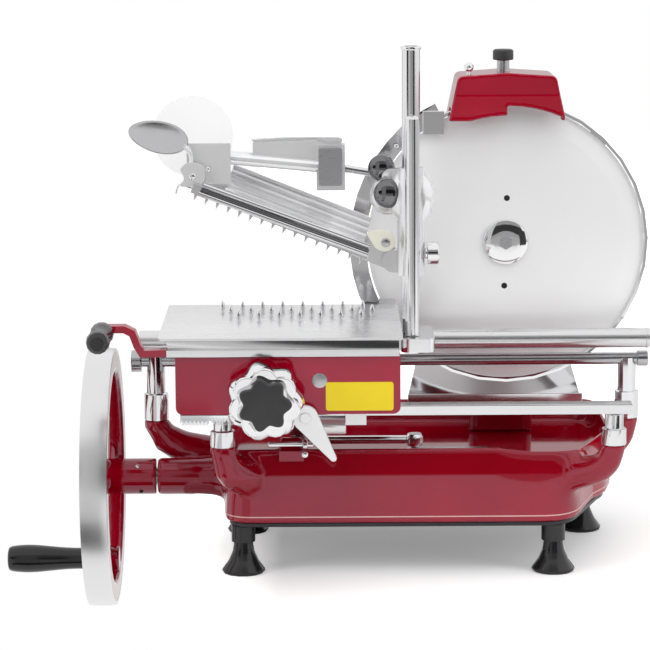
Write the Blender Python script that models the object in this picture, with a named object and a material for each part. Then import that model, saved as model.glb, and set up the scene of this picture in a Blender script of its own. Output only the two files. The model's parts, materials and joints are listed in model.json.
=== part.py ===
"""Hand crank meat slicer: a flywheel slicer with a 250 mm blade, modelled as its separate pieces.

X runs to the right, Y away from the front, Z up. Heights are counted from the plane of the feet,
and depths from the front face of the blade, until the last step centres the part on its origin.
"""

import math

import bmesh
import bpy
from mathutils import Matrix, Vector

# Shared clearances and finish
FIT = 0.0003
RUNNING_FIT = 0.0006
OVERRUN = 0.002
SMOOTH_ANGLE = math.radians(32)
TURN_STEPS = 20
SMALL_STEPS = 12
SCREW_STEPS = 8
EDGE = 0.0006
HEX_STEPS = 6
POST_STEPS = 12
GRIP_STEPS = 14
DOME_STEPS = 3

# Feet and base
FOOT_DIAMETER = 0.038
FOOT_NECK_DIAMETER = 0.0165
FOOT_BOSS_DIAMETER = 0.021
FOOT_BOSS_HEIGHT = 0.015
FOOT_HEIGHT = 0.043
FOOT_FRONT_Y = -0.109
FOOT_REAR_Y = 0.044
FOOT_LEFT_X = -0.073
FOOT_FRONT_RIGHT_X = 0.200
FOOT_REAR_RIGHT_X = 0.238
BASE_PLATE_THICKNESS = 0.0036
BASE_PLATE_INSET = 0.004
BASE_HEIGHT = 0.065
BASE_WALL = 0.005
BASE_RIM_HEIGHT = 0.0215
BASE_DECK_THICKNESS = 0.004
BASE_DRAFT = 0.003
BASE_FRONT_Y = -0.126
BASE_REAR_Y = 0.114
BASE_LEFT_X = -0.088
BASE_FRONT_RIGHT_X = 0.222
BASE_CORNER_STEPS = 4
BASE_CORNER_RADIUS = 0.022
BASE_FLARE_RADIUS = 0.045
ARM_TOP_RADIUS = 0.0115
ARM_ROOT_RADIUS = 0.019
ARM_TOP_Z = 0.120
ARM_SIDES = 10
FOOT_EDGE = 0.0015
FOOT_CURVE_STEPS = 3
FOOT_STEPS = 14
BASE_EDGE = 0.0015
BASE_RIGHT_X = 0.263
BASE_FLARE_Y = -0.015
BASE_LEFT_FLARE = 0.012
BASE_BEND_RADIUS = 0.060
BASE_REAR_RADIUS = 0.030
ARM_ROOT_Z = 0.086
ARM_STEPS = 4
ARM_NECK = 0.004
ARM_PLACES = (
    (-0.1532, -0.022, -0.0750, -0.018),
    (0.2728, -0.022, 0.2350, -0.005),
    (0.2490, -0.142, 0.2050, -0.095),
    (-0.0890, -0.142, -0.0600, -0.105),
)
LOCK_LENGTH = 0.020
LOCK_HEAD_RADIUS = 0.0044
LOCK_HEAD_LENGTH = 0.0046

# Flywheel, its shaft and the crank grip
WHEEL_AXIS_Y = -0.045
WHEEL_AXIS_Z = 0.0727
WHEEL_RADIUS = 0.1160
WHEEL_WIDTH = 0.0235
WHEEL_RIM_DEPTH = 0.0215
WHEEL_CROWN = 0.0012
WHEEL_CENTRE_X = -0.2005
WHEEL_SPOKES = 5
SPOKE_THICKNESS = 0.0095
SPOKE_WIDTH = 0.017
SPOKE_SWEEP = math.radians(34)
HUB_RADIUS = 0.0162
HUB_RIGHT_X = -0.1525
HOUSING_RADIUS = 0.0165
HOUSING_FLARE_RADIUS = 0.024
HOUSING_GAP = 0.0012
SHAFT_RADIUS = 0.0070
BUSH_WALL = 0.0025
CRANK_PIN_RADIUS = 0.086
CRANK_PIN_ANGLE = math.radians(17)
GRIP_LENGTH = 0.066
GRIP_BULB_RADIUS = 0.0128
GRIP_WAIST_RADIUS = 0.0098
GRIP_PIN_RADIUS = 0.0040
GRIP_COLLAR_LENGTH = 0.006
WHEEL_STEPS = 32
HUB_NOSE = 0.003
SPOKE_STEPS = 4
SPOKE_SIDES = 6
SPOKE_WAIST_SHARE = 0.28
PIN_BOSS_RADIUS = 0.0115
GRIP_PROFILE_SHARES = (
    (0.0, 0.3), (0.04, 0.82), (0.12, 1.0), (0.26, 0.95), (0.5, 0.35), (0.72, 0.0), (0.88, 0.1), (1.0, 0.3),
)

# Rails and their posts
RAIL_RADIUS = 0.0055
RAIL_Y = -0.022
RAIL_Z = 0.1740
RAIL_LEFT_X = -0.1735
RAIL_RIGHT_X = 0.2860
RAIL_CAP_RADIUS = 0.0100
RAIL_CAP_LENGTH = 0.009
RAIL_END_RADIUS = 0.0072
RAIL_END_LENGTH = 0.010
POST_RADIUS = 0.0083
POST_SLEEVE_RADIUS = 0.0108
REAR_SLEEVE_HEIGHT = 0.024
REAR_POST_LEFT_X = -0.1532
REAR_POST_RIGHT_X = 0.2728
BAR_DEPTH = 0.016
BAR_HEIGHT = 0.009
BAR_TOP_Z = 0.1570
BAR_Y = -0.1420
BAR_LEFT_X = -0.1020
BAR_RIGHT_X = 0.2640
FRONT_SLEEVE_HEIGHT = 0.014
FRONT_POST_LEFT_X = -0.0890
FRONT_POST_RIGHT_X = 0.2490
RAIL_CAP_OVERHANG = 0.0015
POST_HEAD_RISE = 0.0083

# Blade and what carries it
BLADE_RADIUS = 0.125
BLADE_X = 0.164
BLADE_LOW_Z = 0.1526
BLADE_THICKNESS = 0.0030
BLADE_BEVEL = 0.014
BLADE_EDGE = 0.0006
BLADE_BORE_RADIUS = 0.0125
BLADE_HOLE_CIRCLE = 0.040
BLADE_HOLE_RADIUS = 0.0024
HUB_CAP_RADIUS = 0.0210
HUB_CAP_HEIGHT = 0.0045
HUB_SOCKET_RADIUS = 0.0062
HUB_SOCKET_DEPTH = 0.0030
SPINDLE_FLANGE_RADIUS = 0.026
SPINDLE_FLANGE_THICKNESS = 0.005
SPINDLE_RADIUS = 0.0085
GUARD_CLEARANCE = 0.0012
GUARD_RING_WALL = 0.0026
GUARD_RING_DEPTH = 0.012
GUARD_RING_START = math.radians(-146)
GUARD_RING_END = math.radians(126)
GUARD_RING_STEPS = 24
SUPPORT_WIDTH = 0.060
SUPPORT_TOP_WIDTH = 0.046
SUPPORT_FRONT_Y = 0.056
SUPPORT_DEPTH = 0.046
SUPPORT_WALL = 0.0045
SUPPORT_BOSS_RADIUS = 0.038
SUPPORT_BOSS_FRONT_Y = 0.0115
GUARD_PLATE_REACH = 0.0165
GUARD_PLATE_THICKNESS = 0.0022
GUARD_PLATE_START = math.radians(117)
GUARD_PLATE_END = math.radians(222)
GUARD_PLATE_STEPS = 14
BLADE_STEPS = 48
BLADE_ROOM = 0.020
SUPPORT_CROWN = 0.034
SUPPORT_CORNER = 0.008
STONE_ARM_FRONT_Y = 0.014
STONE_ARM_WIDTH = 0.032
STONE_ARM_DEPTH = 0.012
HUB_NOSE_DEPTH = 0.0002
GUARD_RING_FRONT_Y = -0.001
GUARD_ARM_THICKNESS = 0.0027
GUARD_ARM_WIDTH = 0.018
GUARD_ARM_ANGLES = (math.radians(-60), math.radians(48))
GUARD_BRACKET_X_SHARE = 0.6000
GUARD_BRACKET_Z_SHARE = 0.7872
GUARD_BRACKET_WIDTH = 0.0190
GUARD_BRACKET_HEIGHT = 0.0210
GUARD_BRACKET_DEPTH = 0.0040

# Receiving tray behind the blade
TRAY_LEFT_X = 0.076
TRAY_RIGHT_X = 0.236
TRAY_TOP_NARROWING = 0.011
TRAY_FRONT_Y = 0.012
TRAY_TROUGH_DEPTH = 0.020
TRAY_RISE = 0.040
TRAY_LIP = 0.007
TRAY_SHEET = 0.0015
TRAY_Z = 0.1285
TRAY_NUT_X = 0.152
TRAY_NUT_Y = 0.022
TRAY_NUT_RADIUS = 0.0080
TRAY_NUT_HEIGHT = 0.0050
TRAY_HEX_HEIGHT = 0.0035
SHELF_WIDTH = 0.0160
SHELF_THICKNESS = 0.0035

# Sharpener
COVER_TOP_WIDTH = 0.088
COVER_BOTTOM_WIDTH = 0.1045
COVER_RISE = 0.0289
COVER_DROP = 0.0136
COVER_FRONT_Y = -0.0150
COVER_DEPTH = 0.064
COVER_WALL = 0.0035
COVER_CROWN = 0.003
KNOB_STEM_RADIUS = 0.0056
KNOB_STEM_HEIGHT = 0.010
KNOB_CAP_RADIUS = 0.0093
KNOB_CAP_HEIGHT = 0.0095
KNOB_X = 0.1615
PIN_BALL_RADIUS = 0.0044
PIN_STEM_RADIUS = 0.0022
PIN_X = 0.1300
STONE_RADIUS = 0.0085
STONE_THICKNESS = 0.006
STONE_SPACING = 0.042
COVER_CORNER = 0.005
COVER_SLOT_ROOM = 0.0055
COVER_SLOT_FRONT_Y = -0.006
COVER_SLOT_REAR_Y = 0.020
COVER_LEFT_LAP = 0.0090
COVER_RIGHT_LAP = 0.0005
KNOB_Y = 0.0075
STONE_RISE = 0.0129
CARRIER_THICKNESS = 0.0072
CARRIER_HEIGHT = 0.0150
PIN_Y = -0.0085
PIN_RISE = 0.0339

# Carriage
CARRIAGE_LEFT_X = -0.1265
CARRIAGE_RIGHT_X = 0.0635
CARRIAGE_FRONT_Y = -0.1900
CARRIAGE_TOP_Z = 0.2073
CARRIAGE_WALL = 0.0030
CARRIAGE_CORNER = 0.006
CARRIAGE_SIDE_DEPTH = 0.090
CHANNEL_HEIGHT = 0.0132
CHANNEL_RECESS_DEPTH = 0.004
CHANNEL_RECESS_HEIGHT = 0.0060
CHANNEL_LEFT_X = -0.1335
CHANNEL_REAR_Y = -0.0125
BUSH_BLOCK_WIDTH = 0.026
BUSH_BLOCK_LEFT_X = -0.1150
BUSH_BLOCK_RIGHT_X = 0.0400
GUARD_TUBE_RADIUS = 0.0081
GUARD_TUBE_WALL = 0.0015
GUARD_TUBE_Z = 0.1945
GUARD_TUBE_Y = -0.0300
GUARD_TUBE_LEFT_X = -0.1670
GUARD_TUBE_RIGHT_X = 0.2920
SHOE_WIDTH = 0.018
SHOE_X = 0.0260
RACK_LEFT_X = -0.1230
RACK_RIGHT_X = -0.0720
RACK_HEIGHT = 0.0072
RACK_DEPTH = 0.006
RACK_PITCH = 0.0034
CHANNEL_FRONT_Y = -0.1930
CHANNEL_RAIL = 0.0060
CHANNEL_FLOOR = 0.0040
POCKET_FRONT_Y = -0.1830
SLOT_WIDTH = 0.0240
SLOT_FRONT_Y = -0.1560
SCREW_PLATE_Y = -0.0460
SCREW_PLATE_THICKNESS = 0.0050
BUSH_FRONT_Y = -0.0420
BUSH_BOTTOM_Z = 0.1620
SHOE_WALL = 0.0100
SHOE_BOTTOM_Z = 0.1420
BARREL_RADIUS = 0.0085
BARREL_LENGTH = 0.0265
RACK_TOOTH = 0.0026
LUG_WIDTH = 0.0160
LUG_THICKNESS = 0.0120
LUG_FRONT_Y = -0.0510

# Pull handle at the carriage's left
HANDLE_THICKNESS = 0.0060
HANDLE_WIDTH = 0.014
SPOOL_X = -0.1865
SPOOL_Z = 0.2300
SPOOL_BALL_RADIUS = 0.0100
SPOOL_WAIST_RADIUS = 0.0068
SPOOL_LENGTH = 0.0620
HANDLE_PATH = (
    (-0.1540, 0.2105), (-0.1580, 0.2170), (-0.1620, 0.2280), (-0.1690, 0.2315), (-0.1940, 0.2315),
)
SPOOL_PROFILE_SHARES = (
    (0.0, -0.4), (0.05, 0.65), (0.16, 1.0), (0.26, 0.65), (0.38, 0.0),
    (0.62, 0.0), (0.74, 0.65), (0.84, 1.0), (0.95, 0.65), (1.0, -0.4),
)

# Feed knob, feed screw and release lever
FEED_X = -0.0505
FEED_Z = 0.1735
FEED_KNOB_RADIUS = 0.0305
FEED_KNOB_LOBES = 7
FEED_LOBE_SHARE = 0.085
FEED_KNOB_DEPTH = 0.024
FEED_KNOB_STANDOFF = 0.012
FEED_INSERT_RADIUS = 0.0205
FEED_INSERT_HEIGHT = 0.0065
FEED_INSERT_LOBE_SHARE = 0.13
FEED_SCREW_RADIUS = 0.0050
FEED_SCREW_END_Y = -0.0400
NUT_SIZE = 0.022
NUT_LENGTH = 0.014
LEVER_X = -0.0170
LEVER_Z = 0.1560
LEVER_THICKNESS = 0.0050
LEVER_LENGTH = 0.0420
LEVER_HEAD_RADIUS = 0.0110
LEVER_TIP_RADIUS = 0.0028
LEVER_ANGLE = math.radians(-56)
LEVER_SCREW_RADIUS = 0.0048
LOBE_STEPS = 42
FEED_COLLAR_RADIUS = 0.0120
FEED_NECK_RADIUS = 0.0065
NUT_FRONT_Y = -0.0620
LEVER_GAP = 0.0035
LEVER_HEAD_HEIGHT = 0.0012

# Meat table
TABLE_THICKNESS = 0.0020
TABLE_LEFT_X = -0.1410
TABLE_FRONT_Y = -0.1905
TABLE_REAR_Y = -0.0100
SPIKE_RADIUS = 0.0015
SPIKE_HEIGHT = 0.0110
SPIKE_PITCH = 0.0178
SPIKE_FIRST_X = -0.0910
SPIKE_ROW_COUNTS = (8, 8, 7)
SPIKE_ROW_SHIFT_SHARES = (0.0, 0.45, 0.88)
SPIKE_REAR_Y = -0.0530
SPIKE_ROW_GAP = 0.0240
FENCE_LENGTH = 0.0150
FENCE_HEIGHT = 0.0055
SKIRT_THICKNESS = 0.0018
SKIRT_HEIGHT = 0.0210
FOOT_BLOCK_WIDTH = 0.0290
FOOT_BLOCK_FRONT_Y = -0.1270
FOOT_BLOCK_DEPTH = 0.0700
FOOT_BLOCK_TOP_Z = 0.2110
FOOT_BLOCK_HEIGHT = 0.0125
SPIKE_SIDES = 4
SKIRT_LEFT_X = 0.0638
SKIRT_FRONT_Y = -0.1350
SKIRT_REAR_Y = -0.0450
RUNNER_WIDTH = 0.0100
RUNNER_FRONT_Y = -0.0860
RUNNER_REAR_Y = -0.0200

# Column and press
COLUMN_RADIUS = 0.0078
COLUMN_TOP_Z = 0.4610
COLUMN_Y = -0.0930
ROD_RADIUS = 0.0062
ROD_TOP_Z = 0.4030
ROD_Y = -0.1120
ROD_SHIFT_X = 0.0005
PIVOT_X = 0.0603
PIVOT_Z = 0.2733
PIVOT_PLATE_RADIUS = 0.0100
PIVOT_PIN_RADIUS = 0.0042
SLIDER_RADIUS = 0.0120
SLIDER_BOTTOM_Z = 0.2620
SLIDER_TOP_Z = 0.3560
SLIDER_BORE_CLEARANCE = 0.0004
DOME_RADIUS = 0.0165
DOME_X = 0.0560
DOME_Z = 0.3300
LINK_PIVOT_X = 0.0575
LINK_PIVOT_Z = 0.3470
LINK_RADIUS = 0.0036
LINK_LENGTH = 0.112
LINK_SLOPE = math.radians(9.5)
LINK_EYE_RADIUS = 0.0075
PRESS_Y = -0.0750
PRESS_SLOPE = math.radians(21.6)
COMB_LENGTH = 0.1640
COMB_START = 0.0230
COMB_TEETH = 16
COMB_TOOTH_LENGTH = 0.0060
COMB_TOOTH_WIDTH = 0.0036
COMB_DROP = 0.0060
COMB_THICKNESS = 0.0030
PLATE_WIDTH = 0.0440
PLATE_THICKNESS = 0.0030
PLATE_RIBS = 5
PLATE_RIB_HEIGHT = 0.0024
PLATE_RIB_WIDTH = 0.0028
BLOCK_WIDTH = 0.0250
BLOCK_HEIGHT = 0.0400
BLOCK_DEPTH = 0.0200
BLOCK_X = 0.0058
BLOCK_Z = 0.3553
BLOCK_SLOT_HEIGHT = 0.0110
TWIN_RADIUS = 0.0050
TWIN_SPACING = 0.0200
BRACKET_X = -0.1000
BRACKET_WIDTH = 0.0380
BRACKET_THICKNESS = 0.0030
DISC_RADIUS = 0.0355
DISC_THICKNESS = 0.0028
DISC_X = -0.1150
DISC_Z = 0.3810
TRIGGER_LENGTH = 0.0540
TRIGGER_WIDTH = 0.0240
TRIGGER_THICKNESS = 0.0030
TRIGGER_X = -0.1150
CLAMP_RADIUS = 0.0100
CLAMP_LENGTH = 0.0120
CLAMP_Z = 0.2810
LUG_FACE_Y = -0.0796
SLIDER_LUG_THICKNESS = 0.0094
PRESS_BAR_REAR_Y = -0.0710
PRESS_BAR_DEPTH = 0.0080
PRESS_BAR_DROP = 0.0060
PRESS_BAR_RISE = 0.0125
DOME_DEPTH = 0.0070
LOBE_REACH = 0.0200
LOBE_DEPTH = 0.0100
LOBE_HEIGHT = 0.0270
PLATE_FRONT_Y = -0.0982
PLATE_RISE = 0.0230
PLATE_START = 0.0300
PLATE_LENGTH = 0.1300
COMB_TOP = 0.0030
END_BLOCK_LEFT_X = -0.1185
END_BLOCK_RIGHT_X = -0.0980
END_BLOCK_REAR_Y = -0.0603
END_BLOCK_BOTTOM_Z = 0.3540
END_BLOCK_HEIGHT = 0.0210
END_PLATE_FRONT_Y = -0.0935
BRACKET_BOTTOM_Z = 0.3425
BRACKET_TOP_Z = 0.3780
TWIN_LEFT_Z = 0.3655
LEAF_LEFT_X = -0.0620
LEAF_MIDDLE_X = -0.0080
LEAF_RIGHT_X = 0.0040
LEAF_BOTTOM_Z = 0.3645
LEAF_TOP_Z = 0.3790
LEAF_DROP = 0.0040
LEAF_WIDTH = 0.0160
SLOT_HALF_DEPTH = 0.0044
TRIGGER_PIVOT_Z = 0.3680
TRIGGER_EYE_RADIUS = 0.0060
TRIGGER_EYE_DEPTH = 0.0080
TRIGGER_SLOPE = math.radians(18)
TRIGGER_TILT = math.radians(40)
TRIGGER_SHARES = (
    (0.0, 0.25), (0.1, 0.3), (0.25, 0.42), (0.45, 0.8), (0.65, 1.0), (0.82, 0.95), (0.94, 0.65), (1.0, 0.25),
)

# Drive below the deck and behind the blade
GEAR_TEETH = 8
GEAR_RADIUS = 0.0085
GEAR_FACE = 0.0060
GEAR_TOOTH = 0.0020
CRANK_X = 0.1400
CRANK_THROW = 0.0600
CRANK_SHAFT_RADIUS = 0.0055
CRANK_ARM_WIDTH = 0.0160
CRANK_ARM_THICKNESS = 0.0045
CRANK_ARM_Z = 0.0920
ROD_END_RADIUS = 0.0080
CON_ROD_RADIUS = 0.0038
CON_ROD_LENGTH = 0.1040
CON_ROD_Z = 0.1050
LOCK_X = -0.0305
LOCK_Y = -0.1205
LOCK_RADIUS = 0.0055
LOCK_PIN_RADIUS = 0.0024
EYE_HEIGHT = 0.0110
GEAR_GAP = 0.0002
SHAFT_TAIL_RADIUS = 0.0035
CROSS_RADIUS = 0.0040
SPINDLE_GEAR_RADIUS = 0.00725

# Values that follow from the sizes above
BASE_BOTTOM_Z = FOOT_HEIGHT + FIT + BASE_PLATE_THICKNESS + FIT
BASE_TOP_Z = BASE_BOTTOM_Z + BASE_HEIGHT
DECK_Z = BASE_TOP_Z - BASE_RIM_HEIGHT
DECK_UNDERSIDE_Z = DECK_Z - BASE_DECK_THICKNESS
CRANK_Y = WHEEL_AXIS_Y
LOCK_Z = BASE_TOP_Z + LOCK_RADIUS - EDGE * 1.5
BLADE_Z = BLADE_LOW_Z + BLADE_RADIUS
BLADE_TOP_Z = BLADE_Z + BLADE_RADIUS
GUARD_PLATE_RADIUS = BLADE_RADIUS + GUARD_PLATE_REACH
COVER_SLOT_RADIUS = BLADE_RADIUS + COVER_SLOT_ROOM
COVER_TOP_Z = BLADE_TOP_Z + COVER_RISE
STONE_Z = BLADE_TOP_Z + STONE_RISE
PIN_BALL_Z = BLADE_TOP_Z + PIN_RISE
COVER_BOTTOM_Z = BLADE_TOP_Z - COVER_DROP
COVER_LEFT_ARC = BLADE_RADIUS - COVER_LEFT_LAP
COVER_RIGHT_ARC = BLADE_RADIUS - COVER_RIGHT_LAP
GUARD_BRACKET_X = BLADE_X - BLADE_RADIUS * GUARD_BRACKET_X_SHARE
GUARD_BRACKET_Z = BLADE_Z + BLADE_RADIUS * GUARD_BRACKET_Z_SHARE
COVER_CEILING_Z = COVER_TOP_Z - COVER_CROWN - COVER_WALL
RISER_Y = SUPPORT_FRONT_Y + SUPPORT_DEPTH / 2
CARRIAGE_BOTTOM_Z = BAR_TOP_Z + RUNNING_FIT
CHANNEL_BOTTOM_Z = CARRIAGE_TOP_Z + FIT
CHANNEL_TOP_Z = CHANNEL_BOTTOM_Z + CHANNEL_HEIGHT
CHANNEL_RIGHT_X = CARRIAGE_RIGHT_X - CARRIAGE_WALL / 3
TABLE_BOTTOM_Z = CHANNEL_TOP_Z + FIT
TABLE_TOP_Z = TABLE_BOTTOM_Z + TABLE_THICKNESS
FOOT_BLOCK_LEFT_X = CARRIAGE_RIGHT_X + FIT + SKIRT_THICKNESS + FIT
COLUMN_X = FOOT_BLOCK_LEFT_X + FOOT_BLOCK_WIDTH * 0.33
BLADE_GUARD_RADIUS = BLADE_RADIUS + GUARD_CLEARANCE
WHEEL_LEFT_X = WHEEL_CENTRE_X - WHEEL_WIDTH / 2
CRANK_PIN_Y = WHEEL_AXIS_Y + CRANK_PIN_RADIUS * math.sin(CRANK_PIN_ANGLE)
CRANK_PIN_Z = WHEEL_AXIS_Z - CRANK_PIN_RADIUS * math.cos(CRANK_PIN_ANGLE)
ARM_DIRECTION = Vector((-math.cos(PRESS_SLOPE), 0, math.sin(PRESS_SLOPE)))
ARM_NORMAL = Vector((math.sin(PRESS_SLOPE), 0, math.cos(PRESS_SLOPE)))
PIVOT = Vector((PIVOT_X, PRESS_Y, PIVOT_Z))


def clear_scene():
    for obj in list(bpy.data.objects):
        bpy.data.objects.remove(obj, do_unlink=True)


def material(name, colour, roughness, metallic):
    made = bpy.data.materials.new(name)
    made.use_nodes = True
    shader = made.node_tree.nodes["Principled BSDF"]
    shader.inputs["Base Color"].default_value = (*colour, 1)
    shader.inputs["Roughness"].default_value = roughness
    shader.inputs["Metallic"].default_value = metallic
    made.diffuse_color = (*colour, 1)
    return made


def object_from(name, mesh_data, finish):
    """Makes a shaded object from a bmesh, with every face turned outward."""
    bmesh.ops.recalc_face_normals(mesh_data, faces=mesh_data.faces)
    mesh = bpy.data.meshes.new(name)
    mesh_data.to_mesh(mesh)
    mesh_data.free()
    mesh.materials.append(finish)
    mesh.shade_smooth()
    mesh.set_sharp_from_angle(angle=SMOOTH_ANGLE)
    obj = bpy.data.objects.new(name, mesh)
    bpy.context.scene.collection.objects.link(obj)
    return obj


def axis_matrix(axis, origin):
    """Turns local Z to the named axis and moves the local origin."""
    turns = {
        "Z": Matrix.Identity(4),
        "X": Matrix.Rotation(math.pi / 2, 4, "Y"),
        "Y": Matrix.Rotation(-math.pi / 2, 4, "X"),
    }
    return Matrix.Translation(origin) @ turns[axis]


def rings_mesh(rings, ends_closed=True, loop=False):
    """Joins rings of equally many points into one skin, a one-point ring being a pole."""
    mesh_data = bmesh.new()
    made = [[mesh_data.verts.new(point) for point in ring] for ring in rings]
    pairs = list(zip(made, made[1:]))
    if loop:
        pairs.append((made[-1], made[0]))
    for lower, upper in pairs:
        count = max(len(lower), len(upper))
        for i in range(count):
            j = (i + 1) % count
            corners = [lower[i % len(lower)], lower[j % len(lower)]]
            corners += [upper[j % len(upper)], upper[i % len(upper)]]
            unique = list(dict.fromkeys(corners))
            if len(unique) > 2:
                mesh_data.faces.new(unique)
    if ends_closed and not loop:
        for ring in (made[0], made[-1]):
            if len(ring) > 2:
                mesh_data.faces.new(ring)
    return mesh_data


def turned(name, profile, axis, origin, finish, steps=TURN_STEPS, loop=False):
    """Turns a profile of (radius, height) pairs about an axis."""
    place = axis_matrix(axis, origin)
    rings = []
    for radius, height in profile:
        if radius == 0:
            rings.append([place @ Vector((0, 0, height))])
            continue
        angles = [2 * math.pi * i / steps for i in range(steps)]
        rings.append([place @ Vector((radius * math.cos(a), radius * math.sin(a), height)) for a in angles])
    return object_from(name, rings_mesh(rings, loop=loop), finish)


def rod(name, radius, axis, start, length, finish, steps=SMALL_STEPS, chamfer=0.0):
    """A round bar along an axis, with chamfered ends where asked."""
    profile = [(radius, 0), (radius, length)]
    if chamfer:
        profile = [(radius - chamfer, 0), (radius, chamfer), (radius, length - chamfer), (radius - chamfer, length)]
    return turned(name, profile, axis, start, finish, steps)


def tube(name, radius, bore, axis, start, length, finish, steps=SMALL_STEPS):
    profile = [(radius, 0), (radius, length), (bore, length), (bore, 0)]
    return turned(name, profile, axis, start, finish, steps, loop=True)


def block(name, low, high, finish):
    """A box between two opposite corners."""
    outline = [(low[0], low[1]), (high[0], low[1]), (high[0], high[1]), (low[0], high[1])]
    return prism(name, outline, low[2], high[2], "XY", finish)


def prism(name, outline, low, high, plane, finish):
    """Extrudes an outline drawn in the XY, XZ or YZ plane along the third axis."""
    spread = {
        "XY": lambda u, v, w: (u, v, w),
        "XZ": lambda u, v, w: (u, w, v),
        "YZ": lambda u, v, w: (w, u, v),
    }[plane]
    rings = [[spread(u, v, w) for u, v in outline] for w in (low, high)]
    return object_from(name, rings_mesh(rings), finish)


def swept(name, points, radii, finish, sides=ARM_SIDES, flat_share=1.0):
    """A round bar along a list of points, each with its own radius, with flat ends."""
    points = [Vector(point) for point in points]
    rings = []
    side = None
    for i, point in enumerate(points):
        ahead = points[min(i + 1, len(points) - 1)] - points[max(i - 1, 0)]
        ahead.normalize()
        if side is None:
            side = ahead.orthogonal().normalized()
        side = (side - ahead * side.dot(ahead)).normalized()
        other = ahead.cross(side)
        ring = []
        for k in range(sides):
            angle = 2 * math.pi * k / sides
            across = side * math.cos(angle) + other * math.sin(angle) * flat_share
            ring.append(point + across * radii[i])
        rings.append(ring)
    return object_from(name, rings_mesh(rings), finish)


def inset_corners(corners, inset):
    """Moves every side of a convex outline inward by the same distance."""
    moved = []
    count = len(corners)
    for i, corner in enumerate(corners):
        here = Vector(corner)
        before = (here - Vector(corners[i - 1])).normalized()
        after = (Vector(corners[(i + 1) % count]) - here).normalized()
        inward_before = Vector((-before.y, before.x))
        inward_after = Vector((-after.y, after.x))
        middle = (inward_before + inward_after).normalized()
        moved.append(here + middle * (inset / middle.dot(inward_before)))
    return moved


def rounded(corners, radii, steps=BASE_CORNER_STEPS):
    """Rounds each corner of a convex outline given counter-clockwise."""
    outline = []
    count = len(corners)
    for i, corner in enumerate(corners):
        here = Vector(corner)
        before = (here - Vector(corners[i - 1])).normalized()
        after = (Vector(corners[(i + 1) % count]) - here).normalized()
        turn = before.angle(after)
        reach = radii[i] * math.tan(turn / 2)
        start = here - before * reach
        centre = start + Vector((-before.y, before.x)) * radii[i]
        first = math.atan2(start.y - centre.y, start.x - centre.x)
        for k in range(steps + 1):
            angle = first + turn * k / steps
            outline.append((centre.x + radii[i] * math.cos(angle), centre.y + radii[i] * math.sin(angle)))
    return outline


def rounded_box(low, high, radius, steps=BASE_CORNER_STEPS):
    corners = [low, (high[0], low[1]), high, (low[0], high[1])]
    return rounded(corners, [radius] * 4, steps)


def combine(target, other, operation):
    """Joins or cuts a piece with another one, which then only guides the shape."""
    change = target.modifiers.new(operation.lower(), "BOOLEAN")
    change.operation = operation
    change.object = other
    change.solver = "EXACT"
    other.hide_render = True
    other.display_type = "WIRE"
    other.parent = target
    other.matrix_parent_inverse = target.matrix_world.inverted()
    return target


def cut(target, other):
    return combine(target, other, "DIFFERENCE")


def join(target, other):
    return combine(target, other, "UNION")


def body(name, origin, parent=None):
    """An empty on a joint's axis, which carries the pieces that move with it."""
    empty = bpy.data.objects.new(name, None)
    bpy.context.scene.collection.objects.link(empty)
    empty.location = Vector(origin)
    empty["place"] = list(origin)
    if parent:
        empty.parent = parent
        empty.location = Vector(origin) - Vector(parent["place"])
    return empty


def carry(empty, *pieces):
    """Puts each piece's origin on the body's axis and hangs it from the body, in a finish of its own."""
    origin = Vector(empty["place"])
    for piece in pieces:
        finish = piece.data.materials[0].copy()
        finish.name = piece.name + "_finish"
        piece.data.materials[0] = finish
        for obj in (piece, *piece.children_recursive):
            obj.data.transform(Matrix.Translation(-origin))
            obj.matrix_parent_inverse = Matrix.Identity(4)
        piece.parent = empty


def ribbon(points, thickness):
    """The outline of a bent strip of even thickness along a list of points in a plane."""
    points = [Vector(point) for point in points]
    left = []
    right = []
    for i, point in enumerate(points):
        before = (point - points[i - 1]).normalized() if i else None
        after = (points[i + 1] - point).normalized() if i + 1 < len(points) else None
        before = before or after
        after = after or before
        normal = Vector((-before.y - after.y, before.x + after.x)).normalized()
        reach = thickness / 2 / normal.dot(Vector((-before.y, before.x)))
        left.append(tuple(point + normal * reach))
        right.append(tuple(point - normal * reach))
    return left + right[::-1]


def arc(centre, radius, start, end, steps):
    """Points along an arc, both ends included."""
    points = []
    for i in range(steps + 1):
        angle = start + (end - start) * i / steps
        points.append((centre[0] + radius * math.cos(angle), centre[1] + radius * math.sin(angle)))
    return points


def loft(name, outlines, heights, finish):
    """Joins outlines drawn in the XY plane at the given heights."""
    rings = [[(x, y, z) for x, y in outline] for outline, z in zip(outlines, heights)]
    return object_from(name, rings_mesh(rings), finish)


def bevel_gear(name, axis, apex, side, radius, mate_radius, finish):
    """A bevel gear whose cone starts at the point where its axis meets its mate's axis."""
    slope = radius / mate_radius
    front = mate_radius - GEAR_FACE * math.cos(math.atan(slope))
    stations = [(front, front * slope - GEAR_GAP), (mate_radius, radius - GEAR_GAP)]
    teeth = round(GEAR_TEETH * radius / GEAR_RADIUS)
    place = axis_matrix(axis, apex)
    rings = []
    for height, tip in stations:
        root = tip - GEAR_TOOTH * tip / radius
        ring = []
        for i in range(teeth):
            for share, reach in ((0.0, root), (0.25, tip), (0.5, tip), (0.75, root)):
                angle = 2 * math.pi * (i + share) / teeth
                ring.append(place @ Vector((reach * math.cos(angle), reach * math.sin(angle), side * height)))
        rings.append(ring)
    return object_from(name, rings_mesh(rings), finish)


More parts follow.
